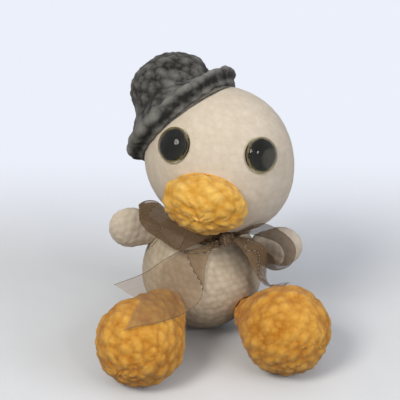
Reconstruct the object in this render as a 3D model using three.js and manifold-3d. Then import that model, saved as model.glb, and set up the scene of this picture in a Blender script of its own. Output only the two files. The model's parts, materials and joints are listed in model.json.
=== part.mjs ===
// Sitting plush duck, crocheted in thick chenille yarn and stuffed: body, head, hat, beak, two
// wings, two legs, a pair of safety eyes and a sheer ribbon tied round the neck.
// Millimetres, +Z up, the front faces -Y, the duck's left side is +X.
// The origin is the centre of the body's flat base.

import * as THREE from 'three';
import { mergeVertices } from 'three/addons/utils/BufferGeometryUtils.js';
import Module from 'manifold-3d';

const wasm = await Module();
wasm.setup();

// Fabric and fits
const COVER = 3.2; // thickness of the crocheted fabric of body, head and legs
const TRIM_COVER = 2.6; // thickness of the fabric of beak and wings
const HAT_COVER = 3; // thickness of the hat's fabric
const GAP = 0.3; // gap kept between two pieces that touch
const REST_FLAT = 0.5; // depth of the flat on each form that stands on the table
const SEAT_DIMPLE = 1.5; // how deep a sewn-on limb presses into the body

// Body
const BODY_RADIUS = 29.4;
const BODY_WIDEST_Z = 26.5; // height of its widest round
const NECK_RADIUS = 12; // radius of both rims that are sewn together at the neck
const BODY_RIM_Z = 55.1; // height of the body's own rim

// Neck
const NECK_STITCH = 4; // thickness of the sewn seam between the two rims
const NECK_PLUG_RADIUS = 8.4; // ball of stuffing that carries the head
const HEAD_LEAN = 9; // degrees towards the duck's left at rest
const HEAD_NOD = 4; // degrees forwards at rest

// Head
const HEAD_RADIUS = 34.2;
const HEAD_HALF_HEIGHT = 32.6;
const CHEEK_SWELL = 4; // how far the duck's left cheek sags out of the round
const CHEEK_TURN = 66; // degrees round and down from the head's front
const CHEEK_DROP = 38;

// Eyes: 16 mm safety eyes
const EYE_RADIUS = 8;
const EYE_EDGE = 1.3; // thickness of the lens at its rim
const EYE_DOME = 4.6; // height of the dome above that rim
const EYE_SINK = 1.3; // how deep the back of the eye lies in the fabric
const EYE_WALL = 1.5; // clear ring round the pupil
const PUPIL_THICKNESS = 1;
const POST_RADIUS = 2.4;
const POST_LENGTH = 10.5;
const POST_RIDGE = 0.35; // height of the ridges that the washer locks on
const POST_RIDGES = 3;
const WASHER_RADIUS = 6.4;
const WASHER_THICKNESS = 1.6;
const EYES = {
	// Degrees round and up from the head's front. The right one sits beside the hat's seam.
	left: { turn: 33.1, rise: 30.3 },
	right: { rise: 24.7 },
};

// Beak
const BEAK_HALF_WIDTH = 18.6;
const BEAK_HALF_HEIGHT = 13.4;
const BEAK_REACH = 15; // how far it stands out of the head
const BEAK_TURN = -9; // degrees round from the head's front
const BEAK_RISE = -7.2;
const BEAK_OVERHANG = 2; // from the head's round out to the beak's widest round
const BEAK_ROOT_DEPTH = 11.5; // how far its sides would run on into the head, drawing in
const BEAK_ROOT_TURN = 50; // degrees of that round that are made

// Hat
const HAT_RIM_ANGLE = 51; // degrees down from its axis to where it is sewn to the head
const HAT_RIDGE_OUT = 4; // from that edge out to the edge of the brim
const HAT_RIDGE_RISE = 5.5; // from the sewn edge up to that ridge
const HAT_RIDGE_EDGE = 2; // how far the brim's edge stands up below the ridge
const HAT_BRIM_FALL = 0.4; // share of the way up to the crease at the middle of the brim
const HAT_BRIM_DOWN = 0.5; // share of the fabric's thickness that its inside lies lower at the brim
const HAT_CREASE_RADIUS = 18.8; // between brim and crown
const HAT_CREASE_RISE = 9; // from the ridge up to the crease
const HAT_CROWN_RADIUS = 18.6;
const HAT_CROWN_FOOT = 4.6; // from the crease up to the crown's widest round
const HAT_CROWN_RISE = 14; // from there up to the top
const HAT_TURN = -126; // degrees round from the head's front
const HAT_TILT = 62.2; // degrees down from the top of the head
const HAT_SLOUCH = 17; // degrees that the crown leans off the hat's own axis
const HAT_SLOUCH_ROUND = 140; // which way round the axis it leans

// Wings
const WING_ROOT_RADIUS = 7;
const WING_TIP_RADIUS = 10.2;
const WING_LENGTH = 25.2;
const WING_FLATTEN = 0.62; // thickness over width
const WING_SLACK = 1.2; // between a wing and the yarn round its root, which lets it tilt
const WINGS = {
	// Degrees round from the front, height on the body, and degrees that it rises.
	left: { turn: 84, seat: 43, rise: -5 },
	right: { turn: -84, seat: 45.5, rise: 18 },
};

// Legs
const LEG_LENGTH = 50.6;
const LEGS = {
	// Degrees round from the front, height on the body, and the radii of its two round ends.
	left: { turn: 42.5, seat: 20, root: 9.5, foot: 20.6 },
	right: { turn: -29, seat: 25, root: 11.5, foot: 20.1 },
};

// Seams
const THREAD = 1.2; // radius of the yarn that sews the pieces on
const TRIM_THREAD = 0.9; // the same at the beak and the hat, where it is pulled tighter
const SEAM_WAVE = 0.25; // how much each stitch swells
const SEAM_SPREAD = 0.8; // the radius of a limb's seam over that of its root
const STITCHES = { neck: 14, hat: 18, beak: 16, wing: 8, leg: 10 };

// Ribbon
const RIBBON_THICKNESS = 0.5;
const RIBBON_CLEAR = 0.85; // between the ribbon's middle and what it lies on
const BAND_RADIUS = 15.2; // inside of the gathered ribbon round the neck
const BAND_THICKNESS = 2.6;
const BAND_CLEAR = 0.8; // between that band and the head above it and body below it
const BAND_SIDE = 7.2; // half the height over which loops and tails keep clear of the band
const KNOT_RADIUS = 3.6;
const KNOT_TURN = 25; // degrees round the neck from the front
const KNOT_RISE = 1.6; // above the middle of the neck's seam
const FISHTAIL = 0.2; // depth of the notch cut in a tail's end, as a share of its length
// Rows across each strip, as [edge, other edge] from the knot outwards, each [x, y, z]
// from the knot's middle or, further out on the tails, from the middle of the foot below.
const LOOP_ROWS = {
	left: [
		[[3.4, -3.5, 5.7], [2.6, -0.5, 3]],
		[[9.4, -8.5, 10.5], [9.4, 7.5, -1.4]],
		[[16.1, -10.5, 13.5], [16.1, 9, -3.8]],
		[[27.6, -12, 6.8], [24.4, 9, -7.5]],
		[[30.4, -12, 0.7], [27.3, 9, -12.5]],
		[[28.7, -11.5, -6.4], [27.2, 9, -16.9]],
		[[23.4, -8, -11.6], [25.3, 9, -19.4]],
		[[17.6, 1, -14.9], [21.3, 8.5, -13.4]],
		[[6.7, 1.5, -1], [8.3, 4, -1.1]],
	],
	right: [
		[[-6.6, -2, 2.3], [-7.5, -2, 5.4]],
		[[-16.7, -4.5, -1.7], [-22, -3.5, 14.5]],
		[[-22.4, -4.5, -3.8], [-28.3, -3, 18]],
		[[-30.8, -2.5, 0.8], [-32.4, -0.5, 20]],
		[[-37.8, 1, 4.3], [-37.1, 2.5, 18.7]],
		[[-41, 5.5, 7.7], [-40.8, 6.5, 14.3]],
		[[-34, 7.5, 4], [-34, 8, 15]],
		[[-22, 6, 0], [-22, 5.5, 12]],
		[[-7, 1, 0], [-7.5, 1, 3]],
	],
};
const TAIL_ROWS = {
	left: {
		knot: [
			[[1.1, -3.5, 2.2], [5.3, -1.5, 1.6]],
			[[5.3, -6.5, -0.8], [11, -3.5, 1.5]],
			[[8.6, -8, -4.6], [17.1, -3, -2.4]],
			[[12, -8, -12.3], [18, -1, -12.7]],
			[[17.4, -4.5, -22.2], [19, 2, -24.6]],
		],
		foot: [
			[[-4.6, 11.8, 15.2], [-3.1, 20.8, 8.7]],
			[[2.1, 5.8, 20.8], [4.1, 19.8, 10.4]],
		],
	},
	right: {
		knot: [
			[[-2.2, -2.5, -0.6], [-4.5, -2.5, 0.7]],
			[[-6.6, -2, -4], [-14.8, -1, -4.5]],
			[[-10, -5, -12.9], [-21.3, 0, -6.2]],
			[[-10.5, -8.5, -19.8], [-27.9, 1, -10.6]],
			[[-12.5, -12.5, -25.6], [-33, -1, -13.2]],
		],
		foot: [
			[[18, 3, 11.9], [2.5, 23.5, 23]],
			[[9.5, -9, 16.3], [-2.2, 18, 23.6]],
			[[-0.3, -13, 16.8], [-7.3, 12.5, 24.6]],
			[[-6.3, -14, 15.3], [-12.1, 9.5, 24.3]],
		],
	},
};

// Facets
const ROUND = 24; // round body, head and hat
const ROUND_SMALL = 18; // round limbs and eyes
const ROUND_CORE = 12; // round the stuffing
const ARC_STEPS = 5; // from a form's widest round to its end
const SMALLEST = 1e-4; // vertices nearer than this are one

const colour = {
	cream: '#dcd0b9',
	grey: '#45433f',
	beak: '#d9ab52',
	leg: '#c98f3c',
	ribbon: '#8a7a64',
	stuffing: '#f2efe8',
	clear: '#6d6a5c',
	black: '#17150f',
	washer: '#e9e7e0',
};

const material = {
	cream: new THREE.MeshStandardMaterial({ color: colour.cream, roughness: 0.95, metalness: 0 }),
	grey: new THREE.MeshStandardMaterial({ color: colour.grey, roughness: 0.95, metalness: 0 }),
	beak: new THREE.MeshStandardMaterial({ color: colour.beak, roughness: 0.95, metalness: 0 }),
	leg: new THREE.MeshStandardMaterial({ color: colour.leg, roughness: 0.95, metalness: 0 }),
	ribbon: new THREE.MeshStandardMaterial({ color: colour.ribbon, roughness: 0.55, metalness: 0 }),
	stuffing: new THREE.MeshStandardMaterial({ color: colour.stuffing, roughness: 1, metalness: 0 }),
	clear: new THREE.MeshStandardMaterial({ color: colour.clear, roughness: 0.05, metalness: 0 }),
	black: new THREE.MeshStandardMaterial({ color: colour.black, roughness: 0.2, metalness: 0 }),
	washer: new THREE.MeshStandardMaterial({ color: colour.washer, roughness: 0.5, metalness: 0 }),
};

const radians = THREE.MathUtils.degToRad;
const V3 = THREE.Vector3;

// A closed solid from any three.js geometry: seams are welded, empty triangles go,
// and the faces are turned outwards.
function solid(geometry) {
	geometry.deleteAttribute('normal');
	geometry.deleteAttribute('uv');
	const welded = mergeVertices(geometry, SMALLEST);
	const place = welded.attributes.position;
	const index = welded.index.array;
	const corners = [];
	let volume = 0;
	const [a, b, c] = [new V3(), new V3(), new V3()];
	for (let i = 0; i < index.length; i += 3) {
		const [p, q, r] = [index[i], index[i + 1], index[i + 2]];
		if (p === q || q === r || r === p) continue;
		corners.push(p, q, r);
		a.fromBufferAttribute(place, p);
		b.fromBufferAttribute(place, q);
		c.fromBufferAttribute(place, r);
		volume += a.dot(b.cross(c));
	}
	if (volume < 0) corners.reverse();
	return new wasm.Manifold(new wasm.Mesh({
		numProp: 3,
		vertProperties: new Float32Array(place.array),
		triVerts: new Uint32Array(corners),
	}));
}

// A mesh of one solid, ready for its group.
function meshOf(name, body, finish) {
	const { vertProperties, triVerts } = body.getMesh();
	const geometry = new THREE.BufferGeometry();
	geometry.setAttribute('position', new THREE.BufferAttribute(new Float32Array(vertProperties), 3));
	geometry.setIndex(new THREE.BufferAttribute(new Uint32Array(triVerts), 1));
	geometry.computeVertexNormals();
	const mesh = new THREE.Mesh(geometry, finish);
	mesh.name = name;
	return mesh;
}

// A body of revolution about Z from [radius, height] pairs.
function turned(profile, segments) {
	const points = profile.map(([r, z]) => new THREE.Vector2(Math.max(r, 0), z));
	return new THREE.LatheGeometry(points, segments).rotateX(Math.PI / 2);
}

// Moves each vertex of a geometry by a function.
function shaped(geometry, move) {
	const place = geometry.attributes.position;
	const p = new V3();
	for (let i = 0; i < place.count; i += 1) {
		p.fromBufferAttribute(place, i);
		move(p);
		place.setXYZ(i, p.x, p.y, p.z);
	}
	return geometry;
}

// Points on an ellipse about (0, centre), from one angle to another in degrees above the horizontal.
function arc(radius, height, centre, from, to, steps) {
	return Array.from({ length: steps + 1 }, (_, i) => {
		const angle = radians(from + (to - from) * i / steps);
		return [radius * Math.cos(angle), centre + height * Math.sin(angle)];
	});
}

// The outline of two balls in one skin, from the narrow ball at 0 to the wide one at distance.
// hole is the radius left open at the narrow end.
function teardrop(narrow, wide, distance, hole, steps) {
	const tangent = Math.acos((narrow - wide) / distance);
	const start = Math.PI - Math.asin(hole / narrow);
	const along = (angle, radius, centre) => [radius * Math.sin(angle), centre + radius * Math.cos(angle)];
	const points = [];
	const few = Math.ceil(steps / 3);
	for (let i = 0; i <= few; i += 1) {
		points.push(along(start + (tangent - start) * i / few, narrow, 0));
	}
	for (let i = 0; i <= steps; i += 1) {
		points.push(along(tangent * (1 - i / steps), wide, distance));
	}
	return points;
}

const ball = (radius, centre, segments = ROUND) => solid(
	new THREE.SphereGeometry(radius, segments, segments / 2).rotateX(Math.PI / 2),
).translate(centre.x, centre.y, centre.z);

const rod = (radius, from, to) => solid(
	new THREE.CylinderGeometry(radius, radius, to - from, ROUND_SMALL).rotateX(Math.PI / 2),
).translate(0, 0, (from + to) / 2);

// A solid of one frame, seen from another.
function carried(body, from, to) {
	from.updateWorldMatrix(true, false);
	to.updateWorldMatrix(true, false);
	const change = to.matrixWorld.clone().invert().multiply(from.matrixWorld);
	return body.transform(change.elements);
}

// An oval ring of sewing yarn with one swelling for each stitch. lift gives its height above a point.
function seam(halfWidth, halfHeight, stitches, lift, thread = THREAD) {
	const ring = new THREE.TorusGeometry(halfWidth, thread, 5, stitches * 2);
	return shaped(ring, (p) => {
		const round = Math.atan2(p.y, p.x);
		const swell = 1 - SEAM_WAVE * (1 - Math.cos(round * stitches)) / 2;
		const out = (Math.hypot(p.x, p.y) - halfWidth) * swell;
		const [x, y] = [halfWidth * Math.cos(round), halfHeight * Math.sin(round)];
		p.set(x + out * Math.cos(round), y + out * Math.sin(round), lift(x, y) + p.z * swell);
	});
}

const duck = new THREE.Group();

// The middle of the neck's seam, where the head turns on its plug of stuffing.
const neckRise = BODY_RIM_Z + GAP + NECK_STITCH / 2;
const bodyBend = neckRise - BODY_WIDEST_Z;

// Bends the body's upper half so that its rim meets the leaning head square on.
function leant(p) {
	const t = Math.max(0, (p.z - BODY_WIDEST_Z) / bodyBend);
	const lean = Math.tan(radians(HEAD_LEAN)) / 2 * bodyBend * t * t;
	const nod = Math.tan(radians(HEAD_NOD)) / 2 * bodyBend * t * t;
	const turn = new THREE.Euler(radians(HEAD_NOD) * t, radians(HEAD_LEAN) * t, 0, 'YXZ');
	const height = p.z;
	p.setZ(0).applyEuler(turn);
	p.add(new V3(lean, -nod, height));
}

const neckPlace = new V3(0, 0, neckRise);
leant(neckPlace);

const headTurn = new THREE.Euler(radians(HEAD_NOD), radians(HEAD_LEAN), 0, 'YXZ');
const neck = new THREE.Group();
neck.position.copy(neckPlace);
neck.rotation.copy(headTurn);
duck.add(neck);

const rimAngle = THREE.MathUtils.radToDeg(Math.acos(NECK_RADIUS / HEAD_RADIUS));
const headRise = NECK_STITCH / 2 + GAP + HEAD_HALF_HEIGHT * Math.sin(radians(rimAngle));
const head = new THREE.Group();
head.position.set(0, 0, headRise);
neck.add(head);

// A frame at the head's centre whose +Z looks out through a point of its surface.
function headFrame(turn, rise) {
	const frame = new THREE.Group();
	frame.rotation.set(radians(90 - rise), 0, radians(turn), 'ZXY');
	head.add(frame);
	return frame;
}

// Swells the head's round at the cheek, and not at the neck's rim.
const cheekWay = new V3(
	Math.sin(radians(CHEEK_TURN)) * Math.cos(radians(CHEEK_DROP)),
	-Math.cos(radians(CHEEK_TURN)) * Math.cos(radians(CHEEK_DROP)),
	-Math.sin(radians(CHEEK_DROP)),
);
function cheekSwell(way) {
	const besideNeck = Math.hypot(way.x, way.y) * HEAD_RADIUS / NECK_RADIUS - 1;
	const share = THREE.MathUtils.clamp(besideNeck, 0, 1) * Math.max(0, way.dot(cheekWay)) ** 4;
	return 1 + CHEEK_SWELL / HEAD_RADIUS * share;
}
const cheeked = (p) => p.multiplyScalar(cheekSwell(p.clone().normalize()));

// The outer skin of the head, without openings, a clearance larger if asked.
function headSkin(more) {
	const half = arc(HEAD_RADIUS + more, HEAD_HALF_HEIGHT + more, 0, -90, 90, 4 * ARC_STEPS);
	return solid(shaped(turned(half, ROUND), cheeked));
}

const upperHeight = (BODY_RIM_Z - BODY_WIDEST_Z) / Math.sin(Math.acos(NECK_RADIUS / BODY_RADIUS));
const lowerHeight = BODY_WIDEST_Z + REST_FLAT;

// The body's outline from its base up to a rim of a given radius, drawn in by a depth.
function bodyOutline(depth, rim, steps) {
	const radius = BODY_RADIUS - depth;
	const end = THREE.MathUtils.radToDeg(Math.acos(rim / radius));
	const below = arc(radius, lowerHeight - depth, BODY_WIDEST_Z, -90, 0, steps);
	const above = arc(radius, upperHeight - depth, BODY_WIDEST_Z, 0, end, steps);
	return [...below, ...above.slice(1)];
}

// The block below the duck's base, wider than body and legs, that cuts their forms flat.
const tableWidth = 4 * (BODY_RADIUS + LEG_LENGTH);
const table = solid(new THREE.BoxGeometry(tableWidth, tableWidth, BODY_RADIUS))
	.translate(0, 0, -BODY_RADIUS / 2);

// The body's radius at a height, before its upper half is bent.
function bodyRadius(z) {
	const height = z > BODY_WIDEST_Z ? upperHeight : lowerHeight;
	return BODY_RADIUS * Math.sqrt(1 - ((z - BODY_WIDEST_Z) / height) ** 2);
}

// The height of the body's upper half at a radius, before it is bent.
const bodyTop = (radius) => BODY_WIDEST_Z + upperHeight * Math.sqrt(1 - (radius / BODY_RADIUS) ** 2);

// A frame for a limb sewn on at a height: +Z points out of the body, +Y up along it.
// Its origin is the middle of the limb's round narrow end, which presses in a dimple.
function rootFrame(turn, seat, rootRadius) {
	const height = seat > BODY_WIDEST_Z ? upperHeight : lowerHeight;
	const radius = bodyRadius(seat);
	const slope = Math.atan2((seat - BODY_WIDEST_Z) / height ** 2, radius / BODY_RADIUS ** 2);
	const round = radians(turn);
	const place = new V3(radius * Math.sin(round), -radius * Math.cos(round), seat);
	leant(place);
	const out = new V3(Math.sin(round) * Math.cos(slope), -Math.cos(round) * Math.cos(slope), Math.sin(slope));
	const frame = new THREE.Group();
	frame.position.copy(place.addScaledVector(out, rootRadius - SEAT_DIMPLE));
	frame.rotation.set(Math.PI / 2 - slope, 0, round, 'ZXY');
	frame.userData.slope = slope;
	duck.add(frame);
	return frame;
}

// The limb's own frame, turned from its root frame so that it rises by a given angle.
function limbFrame(root, rise) {
	const frame = new THREE.Group();
	frame.rotation.x = root.userData.slope - rise;
	root.add(frame);
	return frame;
}

const wingReach = WING_LENGTH - WING_ROOT_RADIUS - WING_TIP_RADIUS;

const legRoots = {};
const wingRoots = {};
for (const side of ['left', 'right']) {
	legRoots[side] = rootFrame(LEGS[side].turn, LEGS[side].seat, LEGS[side].root);
	wingRoots[side] = rootFrame(WINGS[side].turn, WINGS[side].seat, WING_ROOT_RADIUS);
}

// How far below the middle of a limb's round end its seam lies, in the crease with the body,
// which curves away from the limb by seamCurve.
function seamHeight(rootRadius) {
	const seamCurve = (SEAM_SPREAD * rootRadius) ** 2 / (2 * BODY_RADIUS);
	return rootRadius - SEAT_DIMPLE - THREAD - GAP + seamCurve;
}

// The skin of a limb's narrow end, from which the body's dimple is cut.
const legDome = (side, more) => ball(LEGS[side].root + more, new V3());
const wingDome = (more) => ball(WING_ROOT_RADIUS + more, new V3()).scale([WING_FLATTEN, 1, 1]);

// A limb's solid inside a skin drawn in by a depth, open at the root by a hole.
function limbSolid(narrow, wide, reach, depth, hole) {
	const [segments, steps] = depth > 0 ? [ROUND_CORE, ARC_STEPS + 1] : [ROUND_SMALL, 2 * ARC_STEPS];
	const outline = teardrop(narrow - depth, wide - depth, reach, hole, steps);
	return solid(turned([[0, outline[0][1]], ...outline], segments));
}

function bodyPieces() {
	const cover = turned([
		...bodyOutline(0, NECK_RADIUS, ARC_STEPS),
		...bodyOutline(COVER, NECK_RADIUS - COVER, ARC_STEPS).reverse(),
	], ROUND);
	const stuffing = turned([
		...bodyOutline(COVER + GAP, NECK_RADIUS - COVER - GAP, ARC_STEPS),
		[0, BODY_RIM_Z],
	], ROUND_CORE);
	const plugSeat = ball(NECK_PLUG_RADIUS + GAP, neckPlace);
	let fabric = solid(shaped(cover.toNonIndexed(), leant)).subtract(table).subtract(plugSeat);
	for (const side of ['left', 'right']) {
		fabric = fabric.subtract(carried(legDome(side, GAP), legRoots[side], duck));
		fabric = fabric.subtract(carried(wingDome(GAP), wingRoots[side], duck));
	}
	const filling = solid(shaped(stuffing.toNonIndexed(), leant)).subtract(plugSeat);
	duck.add(meshOf('body_cover', fabric, material.cream));
	duck.add(meshOf('body_stuffing', filling, material.stuffing));
}

function neckPieces() {
	neck.add(meshOf('neck_stuffing', ball(NECK_PLUG_RADIUS, new V3(), ROUND_SMALL), material.stuffing));
	const ring = seam(NECK_RADIUS, NECK_RADIUS, STITCHES.neck, () => 0, NECK_STITCH / 2);
	neck.add(meshOf('neck_stitches', solid(ring), material.cream));
}

// The head's outline from its open rim up to the top, drawn in by a depth.
function headOutline(depth, rim, steps) {
	const radius = HEAD_RADIUS - depth;
	const start = -THREE.MathUtils.radToDeg(Math.acos(rim / radius));
	return arc(radius, HEAD_HALF_HEIGHT - depth, 0, start, 90, steps);
}

// Distance along a unit vector of the head's frame from its centre to its skin, or to a depth in it.
function headReach(way, depth = 0) {
	const [wide, high] = [HEAD_RADIUS - depth, HEAD_HALF_HEIGHT - depth];
	return cheekSwell(way) / Math.hypot(Math.hypot(way.x, way.y) / wide, way.z / high);
}

// The height of the head's underside above a point of the neck's seam.
function headUnderside(x, y) {
	const drop = HEAD_HALF_HEIGHT * Math.sqrt(1 - (x * x + y * y) / HEAD_RADIUS ** 2);
	const swell = cheekSwell(new V3(x, y, -drop).normalize()) - 1;
	return headRise - drop - swell * (drop + (x * x + y * y) / drop);
}

// How high a clearance over the head's skin, or over a depth in it, lies above each point of a
// frame at its centre.
const overHead = (frame, clear, depth = 0) => (x, y) => {
	const flat = x * x + y * y;
	const way = new V3(x, y, Math.sqrt((HEAD_RADIUS - depth) ** 2 - flat)).normalize();
	const reach = headReach(way.applyQuaternion(frame.quaternion), depth) + clear;
	return Math.sqrt(reach ** 2 - flat);
};

// How far a facet cuts into the round, round the head and up it.
const halfStepUp = radians(90 + rimAngle) / (4 * ARC_STEPS);
const facetSag = (HEAD_RADIUS - COVER) * (2 - Math.cos(Math.PI / ROUND) - Math.cos(halfStepUp));

// The radii of the hat's sewn edge and of its seam, which lies in the corner between brim and head.
const hatRim = (HEAD_RADIUS + GAP) * Math.sin(radians(HAT_RIM_ANGLE));
const hatSeam = hatRim + Math.SQRT2 * (TRIM_THREAD + GAP);

// How far round an eye sits at a given rise, so that a gap is left between it and the hat's seam:
// the two axes are as far apart as seam and eye reach, seen from the head's centre.
function besideHat(rise) {
	const up = radians(rise);
	const hatUp = radians(90 - HAT_TILT);
	const reach = 1 / Math.hypot(Math.cos(up) / HEAD_RADIUS, Math.sin(up) / HEAD_HALF_HEIGHT);
	const seamAngle = Math.asin(hatSeam / (reach + TRIM_THREAD + GAP)) + TRIM_THREAD / reach;
	const eyeAngle = Math.atan(EYE_RADIUS / (reach - EYE_SINK)) + GAP / reach;
	const apart = Math.cos(seamAngle + eyeAngle) - Math.sin(up) * Math.sin(hatUp);
	return HAT_TURN + THREE.MathUtils.radToDeg(Math.acos(apart / (Math.cos(up) * Math.cos(hatUp))));
}

// Where the eyes' posts and washers go into the head. Each washer's front lies under the fabric's
// inside, where that is lowest round the washer's edge.
const eyeFrames = {};
for (const side of ['left', 'right']) {
	const { rise, turn = besideHat(rise) } = EYES[side];
	const place = headFrame(turn, rise);
	const seat = overHead(place, -EYE_SINK)(0, 0);
	const inside = overHead(place, 0, COVER);
	const round = Array.from({ length: ROUND_CORE }, (_, i) => 2 * Math.PI * i / ROUND_CORE);
	const edge = round.map((a) => inside(WASHER_RADIUS * Math.cos(a), WASHER_RADIUS * Math.sin(a)));
	eyeFrames[side] = new THREE.Group();
	eyeFrames[side].position.z = seat;
	eyeFrames[side].userData.washerFront = Math.min(...edge) - seat - facetSag - GAP;
	place.add(eyeFrames[side]);
}

function headPieces() {
	const outer = headOutline(0, NECK_RADIUS, 2 * ARC_STEPS);
	const inner = headOutline(COVER, NECK_RADIUS - COVER, 2 * ARC_STEPS).reverse();
	let fabric = solid(shaped(turned([...outer, ...inner, outer[0]], ROUND), cheeked));
	const core = headOutline(COVER + GAP, NECK_RADIUS - COVER - GAP, 2 * ARC_STEPS);
	let filling = solid(shaped(turned([[0, core[0][1]], ...core], ROUND_CORE), cheeked));
	filling = filling.subtract(ball(NECK_PLUG_RADIUS + GAP, new V3(0, 0, -headRise)));
	const hole = POST_RADIUS + POST_RIDGE + GAP;
	for (const side of ['left', 'right']) {
		const { washerFront } = eyeFrames[side].userData;
		const into = (cut) => carried(cut, eyeFrames[side], head);
		fabric = fabric.subtract(into(rod(EYE_RADIUS + GAP, -GAP, EYE_RADIUS)));
		fabric = fabric.subtract(into(rod(hole, washerFront - COVER, EYE_RADIUS)));
		filling = filling.subtract(into(rod(WASHER_RADIUS + GAP, -POST_LENGTH - GAP, EYE_RADIUS)));
	}
	head.add(meshOf('head_cover', fabric, material.cream));
	head.add(meshOf('head_stuffing', filling, material.stuffing));
}

function eyePieces(side) {
	const place = eyeFrames[side];
	const { washerFront } = place.userData;
	const washerBack = washerFront - WASHER_THICKNESS;
	const recess = EYE_RADIUS - EYE_WALL;
	const lens = turned([
		[0, PUPIL_THICKNESS + GAP],
		[recess, PUPIL_THICKNESS + GAP],
		[recess, 0],
		...arc(EYE_RADIUS, EYE_DOME, EYE_EDGE, 0, 90, 5),
	].toSpliced(3, 0, [EYE_RADIUS, 0]), ROUND_SMALL);
	const ridges = [];
	const pitch = (POST_LENGTH + washerFront) / POST_RIDGES;
	for (let i = 0; i < POST_RIDGES; i += 1) {
		const base = -POST_LENGTH + i * pitch;
		ridges.push([POST_RADIUS, base], [POST_RADIUS + POST_RIDGE, base + pitch / 2]);
	}
	const pupil = turned([
		[0, -POST_LENGTH],
		...ridges,
		[POST_RADIUS, washerFront],
		[POST_RADIUS, 0],
		[recess - GAP, 0],
		[recess - GAP, PUPIL_THICKNESS],
		[0, PUPIL_THICKNESS],
	], ROUND_SMALL);
	const bore = POST_RADIUS + POST_RIDGE + GAP;
	const washer = turned([
		[bore, washerBack],
		[WASHER_RADIUS, washerBack],
		[WASHER_RADIUS, washerFront],
		[bore, washerFront],
		[bore, washerBack],
	], ROUND_SMALL);
	place.add(meshOf(`eye_${side}_lens`, solid(lens), material.clear));
	place.add(meshOf(`eye_${side}_pupil`, solid(pupil), material.black));
	place.add(meshOf(`eye_${side}_washer`, solid(washer), material.washer));
}

// The beak as a solid of oval rounds, drawn in by a depth.
function beakSolid(depth, segments = ROUND) {
	const high = BEAK_HALF_HEIGHT - depth;
	const widest = HEAD_RADIUS + BEAK_OVERHANG;
	const below = arc(high, BEAK_ROOT_DEPTH, widest, -BEAK_ROOT_TURN, 0, 3);
	const above = arc(high, BEAK_REACH - BEAK_OVERHANG - depth, widest, 0, 90, ARC_STEPS + 1);
	const [rootRadius, rootZ] = below[0];
	const end = rootZ - depth;
	const profile = [[0, end], [rootRadius, end], ...below.slice(1), ...above.slice(1)];
	return solid(turned(profile, segments)).scale([(BEAK_HALF_WIDTH - depth) / high, 1, 1]);
}

function beakPieces() {
	const place = headFrame(BEAK_TURN, BEAK_RISE);
	const skin = carried(headSkin(GAP), head, place);
	const cover = beakSolid(0).subtract(beakSolid(TRIM_COVER)).subtract(skin);
	const filling = beakSolid(TRIM_COVER + GAP, ROUND_CORE).subtract(skin);
	place.add(meshOf('beak_cover', cover, material.beak));
	place.add(meshOf('beak_stuffing', filling, material.stuffing));
	const clear = TRIM_THREAD + GAP;
	const onHead = overHead(place, clear);
	// Half of the beak's width or height where it meets the head, and the seam beside it.
	const drawnIn = (half) => {
		const sink = HEAD_RADIUS + BEAK_OVERHANG - onHead(half, 0);
		return half * Math.sqrt(1 - (sink / BEAK_ROOT_DEPTH) ** 2) + clear + GAP;
	};
	const [wide, tall] = [drawnIn(BEAK_HALF_WIDTH), drawnIn(BEAK_HALF_HEIGHT)];
	const ring = seam(wide, tall, STITCHES.beak, onHead, TRIM_THREAD);
	place.add(meshOf('beak_stitches', solid(ring), material.beak));
}

// The hat's outline from the sewn rim over the ridge and crease to the top, drawn in by a depth.
// The top of the brim lies nearly level, so that it is drawn down as well.
function hatOutline(depth) {
	const rimZ = (HEAD_RADIUS + GAP) * Math.cos(radians(HAT_RIM_ANGLE));
	const ridge = hatRim + HAT_RIDGE_OUT;
	const ridgeZ = rimZ + HAT_RIDGE_RISE;
	const creaseZ = ridgeZ + HAT_CREASE_RISE;
	const crownZ = creaseZ + HAT_CROWN_FOOT;
	const down = depth * HAT_BRIM_DOWN;
	return [
		[hatRim - depth, rimZ + depth],
		[ridge - depth, ridgeZ - HAT_RIDGE_EDGE],
		[ridge - depth, ridgeZ - down],
		[(ridge + HAT_CREASE_RADIUS) / 2 - depth, ridgeZ + HAT_CREASE_RISE * HAT_BRIM_FALL - down],
		[HAT_CREASE_RADIUS - depth, creaseZ - down],
		...arc(HAT_CROWN_RADIUS - depth, HAT_CROWN_RISE - depth, crownZ, 0, 90, ARC_STEPS),
	];
}

function hatPieces() {
	const place = headFrame(HAT_TURN, 90 - HAT_TILT);
	const outer = hatOutline(0);
	const foot = outer[2][1];
	const way = radians(HAT_SLOUCH_ROUND);
	const slouched = (p) => {
		const rise = Math.max(0, p.z - foot);
		const side = p.x * Math.cos(way) + p.y * Math.sin(way);
		const share = Math.min(1, rise / HAT_CREASE_RISE);
		p.z -= side * Math.tan(radians(HAT_SLOUCH)) * share;
		p.x += rise * Math.tan(radians(HAT_SLOUCH)) * Math.cos(way);
		p.y += rise * Math.tan(radians(HAT_SLOUCH)) * Math.sin(way);
	};
	const skin = carried(headSkin(GAP), head, place);
	const onHead = (form) => solid(shaped(form.toNonIndexed(), slouched)).subtract(skin);
	const shell = turned([...outer, ...hatOutline(HAT_COVER).reverse(), outer[0]], ROUND);
	const core = hatOutline(HAT_COVER + GAP);
	const [coreRadius, coreZ] = core[0];
	const filling = turned([[0, coreZ - HAT_COVER], [coreRadius, coreZ - HAT_COVER], ...core], ROUND_CORE);
	place.add(meshOf('hat_cover', onHead(shell), material.grey));
	place.add(meshOf('hat_stuffing', onHead(filling), material.stuffing));
	const onSkin = overHead(place, TRIM_THREAD + GAP);
	const ring = seam(hatSeam, hatSeam, STITCHES.hat, onSkin, TRIM_THREAD);
	place.add(meshOf('hat_stitches', solid(ring), material.grey));
}

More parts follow.
